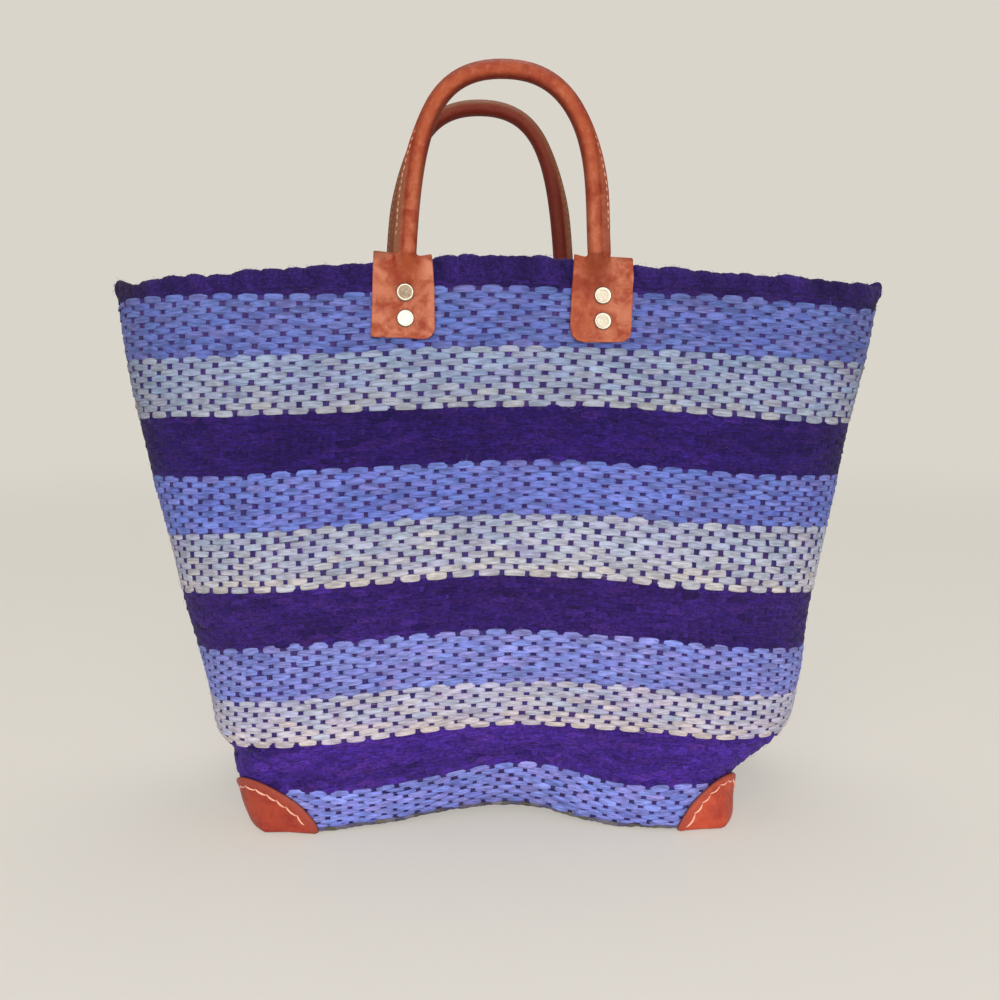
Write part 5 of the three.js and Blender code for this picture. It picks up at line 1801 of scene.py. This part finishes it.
def patch_disc(side_name, side_x, side_y):
    """The disc of a patch, and how far each of its spokes reaches from the corner."""
    half_width, half_depth = BASE_WIDTH / 2, BASE_DEPTH / 2
    sideways = side_x * (WALL[0, :, 0] - BASE_LEAN) / half_width
    corner = np.argmax(sideways + side_y * WALL[0, :, 1] / half_depth)
    centre = np.array([BASE_LEAN + side_x * (half_width + 2), side_y * half_depth, 0])
    cosine, sine = np.cos(PATCH_ANGLES), np.sin(PATCH_ANGLES)
    reach, beyond = np.zeros(PATCH_TURNS), np.full(PATCH_TURNS, 80.0)
    for _ in range(30):
        middle = (reach + beyond) / 2
        away = np.abs((skin(corner, middle * cosine, middle * sine) - centre) / PATCH_REACH[side_name])
        outside = (away ** PATCH_SQUARE[side_name]).sum(-1) > 1
        beyond, reach = np.where(outside, middle, beyond), np.where(outside, reach, middle)
    radius = RING_SHARES[:, None] * reach[None]
    disc = skin(corner, radius * cosine, radius * sine)
    for _ in range(4):
        around = (np.roll(disc, 1, 1) + np.roll(disc, -1, 1)) / 2
        inner = (disc[:-2] + disc[2:]) / 2
        disc[1:-1] += 0.5 * ((around[1:-1] + inner) / 2 - disc[1:-1])
        disc[0] = disc[0] + 0.5 * (around[0] - disc[0])
    # the folded leather makes a sharper corner than the weave inside it
    point = np.array(PATCH_POINT[side_name]) * [1, side_y, 1]
    pull = 0.85 * np.exp(-np.sum((disc - point) ** 2, -1) / (2 * 9.0**2))
    return disc + pull[..., None] * (point - disc), reach


print("a patch has", PATCH_RINGS, "rings of", PATCH_TURNS, "points on each side")


# %% Faces of a patch
def patch_faces(rings, turns):
    """Two sheets of rings, joined round the last ring and closed round the first."""
    count, last = rings * turns, (rings - 1) * turns
    grid = grid_faces(rings, turns, close_cols=True)
    faces = [tuple(int(i) for i in q) for q in grid]
    faces += [tuple(int(i) + count for i in q[::-1]) for q in grid]
    for k in range(turns):
        n = (k + 1) % turns
        faces.append((last + k, last + n, count + last + n, count + last + k))
        faces.append((n, k, 2 * count))
        faces.append((count + k, count + n, 2 * count + 1))
    return faces


def fix_normals(obj):
    bm = bmesh.new()
    bm.from_mesh(obj.data)
    bmesh.ops.recalc_face_normals(bm, faces=bm.faces)
    bm.to_mesh(obj.data)
    bm.free()


print("faces of a patch:", len(patch_faces(PATCH_RINGS, PATCH_TURNS)))

# %% Leather of a patch
PATCH_DARK = {"left": 0.4, "right": 0.0}


def patch_leather(which, side_name, disc, reach):
    """Thickens a disc into leather; gives back its outer side and that side's normals."""
    normal = unit(np.cross(np.gradient(disc, axis=0), np.roll(disc, -1, 1) - np.roll(disc, 1, 1)))
    if np.sum(normal * (disc.mean((0, 1)) - np.array([BASE_LEAN, 0, 60]))) < 0:
        normal = -normal
    edge_near = (1 - RING_SHARES)[:, None] * reach[None]
    bulge = 0.35 * np.exp(-((edge_near - 2.2) / 1.6) ** 2)
    thick = 2.3 - 0.5 * np.exp(-edge_near / 0.7) + bulge
    outer, inner = disc + normal * thick[..., None], disc + normal * 0.3
    outer[..., 2] = np.maximum(outer[..., 2], 0.02)
    inner[..., 2] = np.maximum(inner[..., 2], 0.6)
    points = np.vstack([outer.reshape(-1, 3), inner.reshape(-1, 3), outer[0].mean(0), inner[0].mean(0)])
    faces = patch_faces(PATCH_RINGS, PATCH_TURNS)
    obj = make_mesh(f"{which}_{side_name}_patch_leather", points, faces, PATCH_LEATHER)
    raw = 0.6 * smooth(1 - edge_near / 0.9) + 0.4 * smooth((5.5 - edge_near) / 2)
    point_attribute(obj, "raw", "FLOAT", np.concatenate([raw.ravel(), np.full(raw.size + 2, 0.6)]))
    point_attribute(obj, "dark", "FLOAT", np.full(len(points), PATCH_DARK[side_name]))
    fix_normals(obj)
    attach(obj, "root")
    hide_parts(f"{which}_{side_name}_corner_patch")
    print(obj.name, "faces", len(faces))
    return outer, normal


# %% [markdown]
# The seam of a patch is one row of long stitches at a fixed distance inside the cut edge. Each is
# a little longer or shorter than the next, lies slightly aslant and bows out, as hand sewing does.
# Under the base there are none: they would lift the bag off the floor, so the row is left out there.

# %% Seam of a patch
SEAM = {  # how far inside the cut edge it runs, length of a stitch and its spread, gap, bow
    "left": (5.2, 8.2, 0.6, -0.4, 0.5), "right": (4.1, 8.4, 0.8, -0.1, 0.9)}
PATCH_THREAD = 0.56  # radius
OFF_FLOOR = 1.0  # stitches that dip lower are left out
STITCH_SLANT = 0.45


def along_cut(table, inset):
    """Values of a patch along a line inside its cut edge, on a fine even grid."""
    rows = [[np.interp(inset[k], RING_SHARES, table[:, k, c]) for c in range(3)]
            for k in range(PATCH_TURNS)]
    rows = np.array(rows + rows[:1])
    fine, angles = np.linspace(0, 2 * np.pi, 1441), np.append(PATCH_ANGLES, 2 * np.pi)
    return np.stack([np.interp(fine, angles, rows[:, c]) for c in range(3)], -1)


def patch_seam(which, side_name, outer, normal, reach):
    seam_inset, stitch, spread, gap, bow = SEAM[side_name]
    inset = np.clip(1 - seam_inset / reach, 0.1, 1)
    line, out = along_cut(outer, inset), unit(along_cut(normal, inset))
    run = travelled(line)

    def at(place, table):
        return np.array([np.interp(place, run, table[:, c]) for c in range(3)])

    runs, place = [], 0.0
    while place < run[-1] - 7:
        length = stitch + rng.normal(0, spread)
        start, end = at(place, line), at(place + length, line)
        if min(start[2], end[2]) > OFF_FLOOR:
            up = at(place + length / 2, out)
            slant = STITCH_SLANT * unit(np.cross(up, end - start))
            runs.append((start + slant, end - slant, up))
        place += length + gap
    seam = stitches(f"{which}_{side_name}_patch_stitches", runs, PATCH_THREAD, THREAD, "root",
                    arch=0.5, bow=bow)


for which, handle in HANDLES.items():
    for side_name, side_x in SIDES.items():
        disc, reach = patch_disc(side_name, side_x, -handle["sign"])
        outer, normal = patch_leather(which, side_name, disc, reach)
        patch_seam(which, side_name, outer, normal, reach)

# %% [markdown]
# Last, the woven pieces take the place of the CAD body. The strands stand a millimetre or so
# proud of its plain shell.

# %% Hide the CAD body
for piece in weft_pieces + [warps, base_rows, base_warps]:
    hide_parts("woven_body")
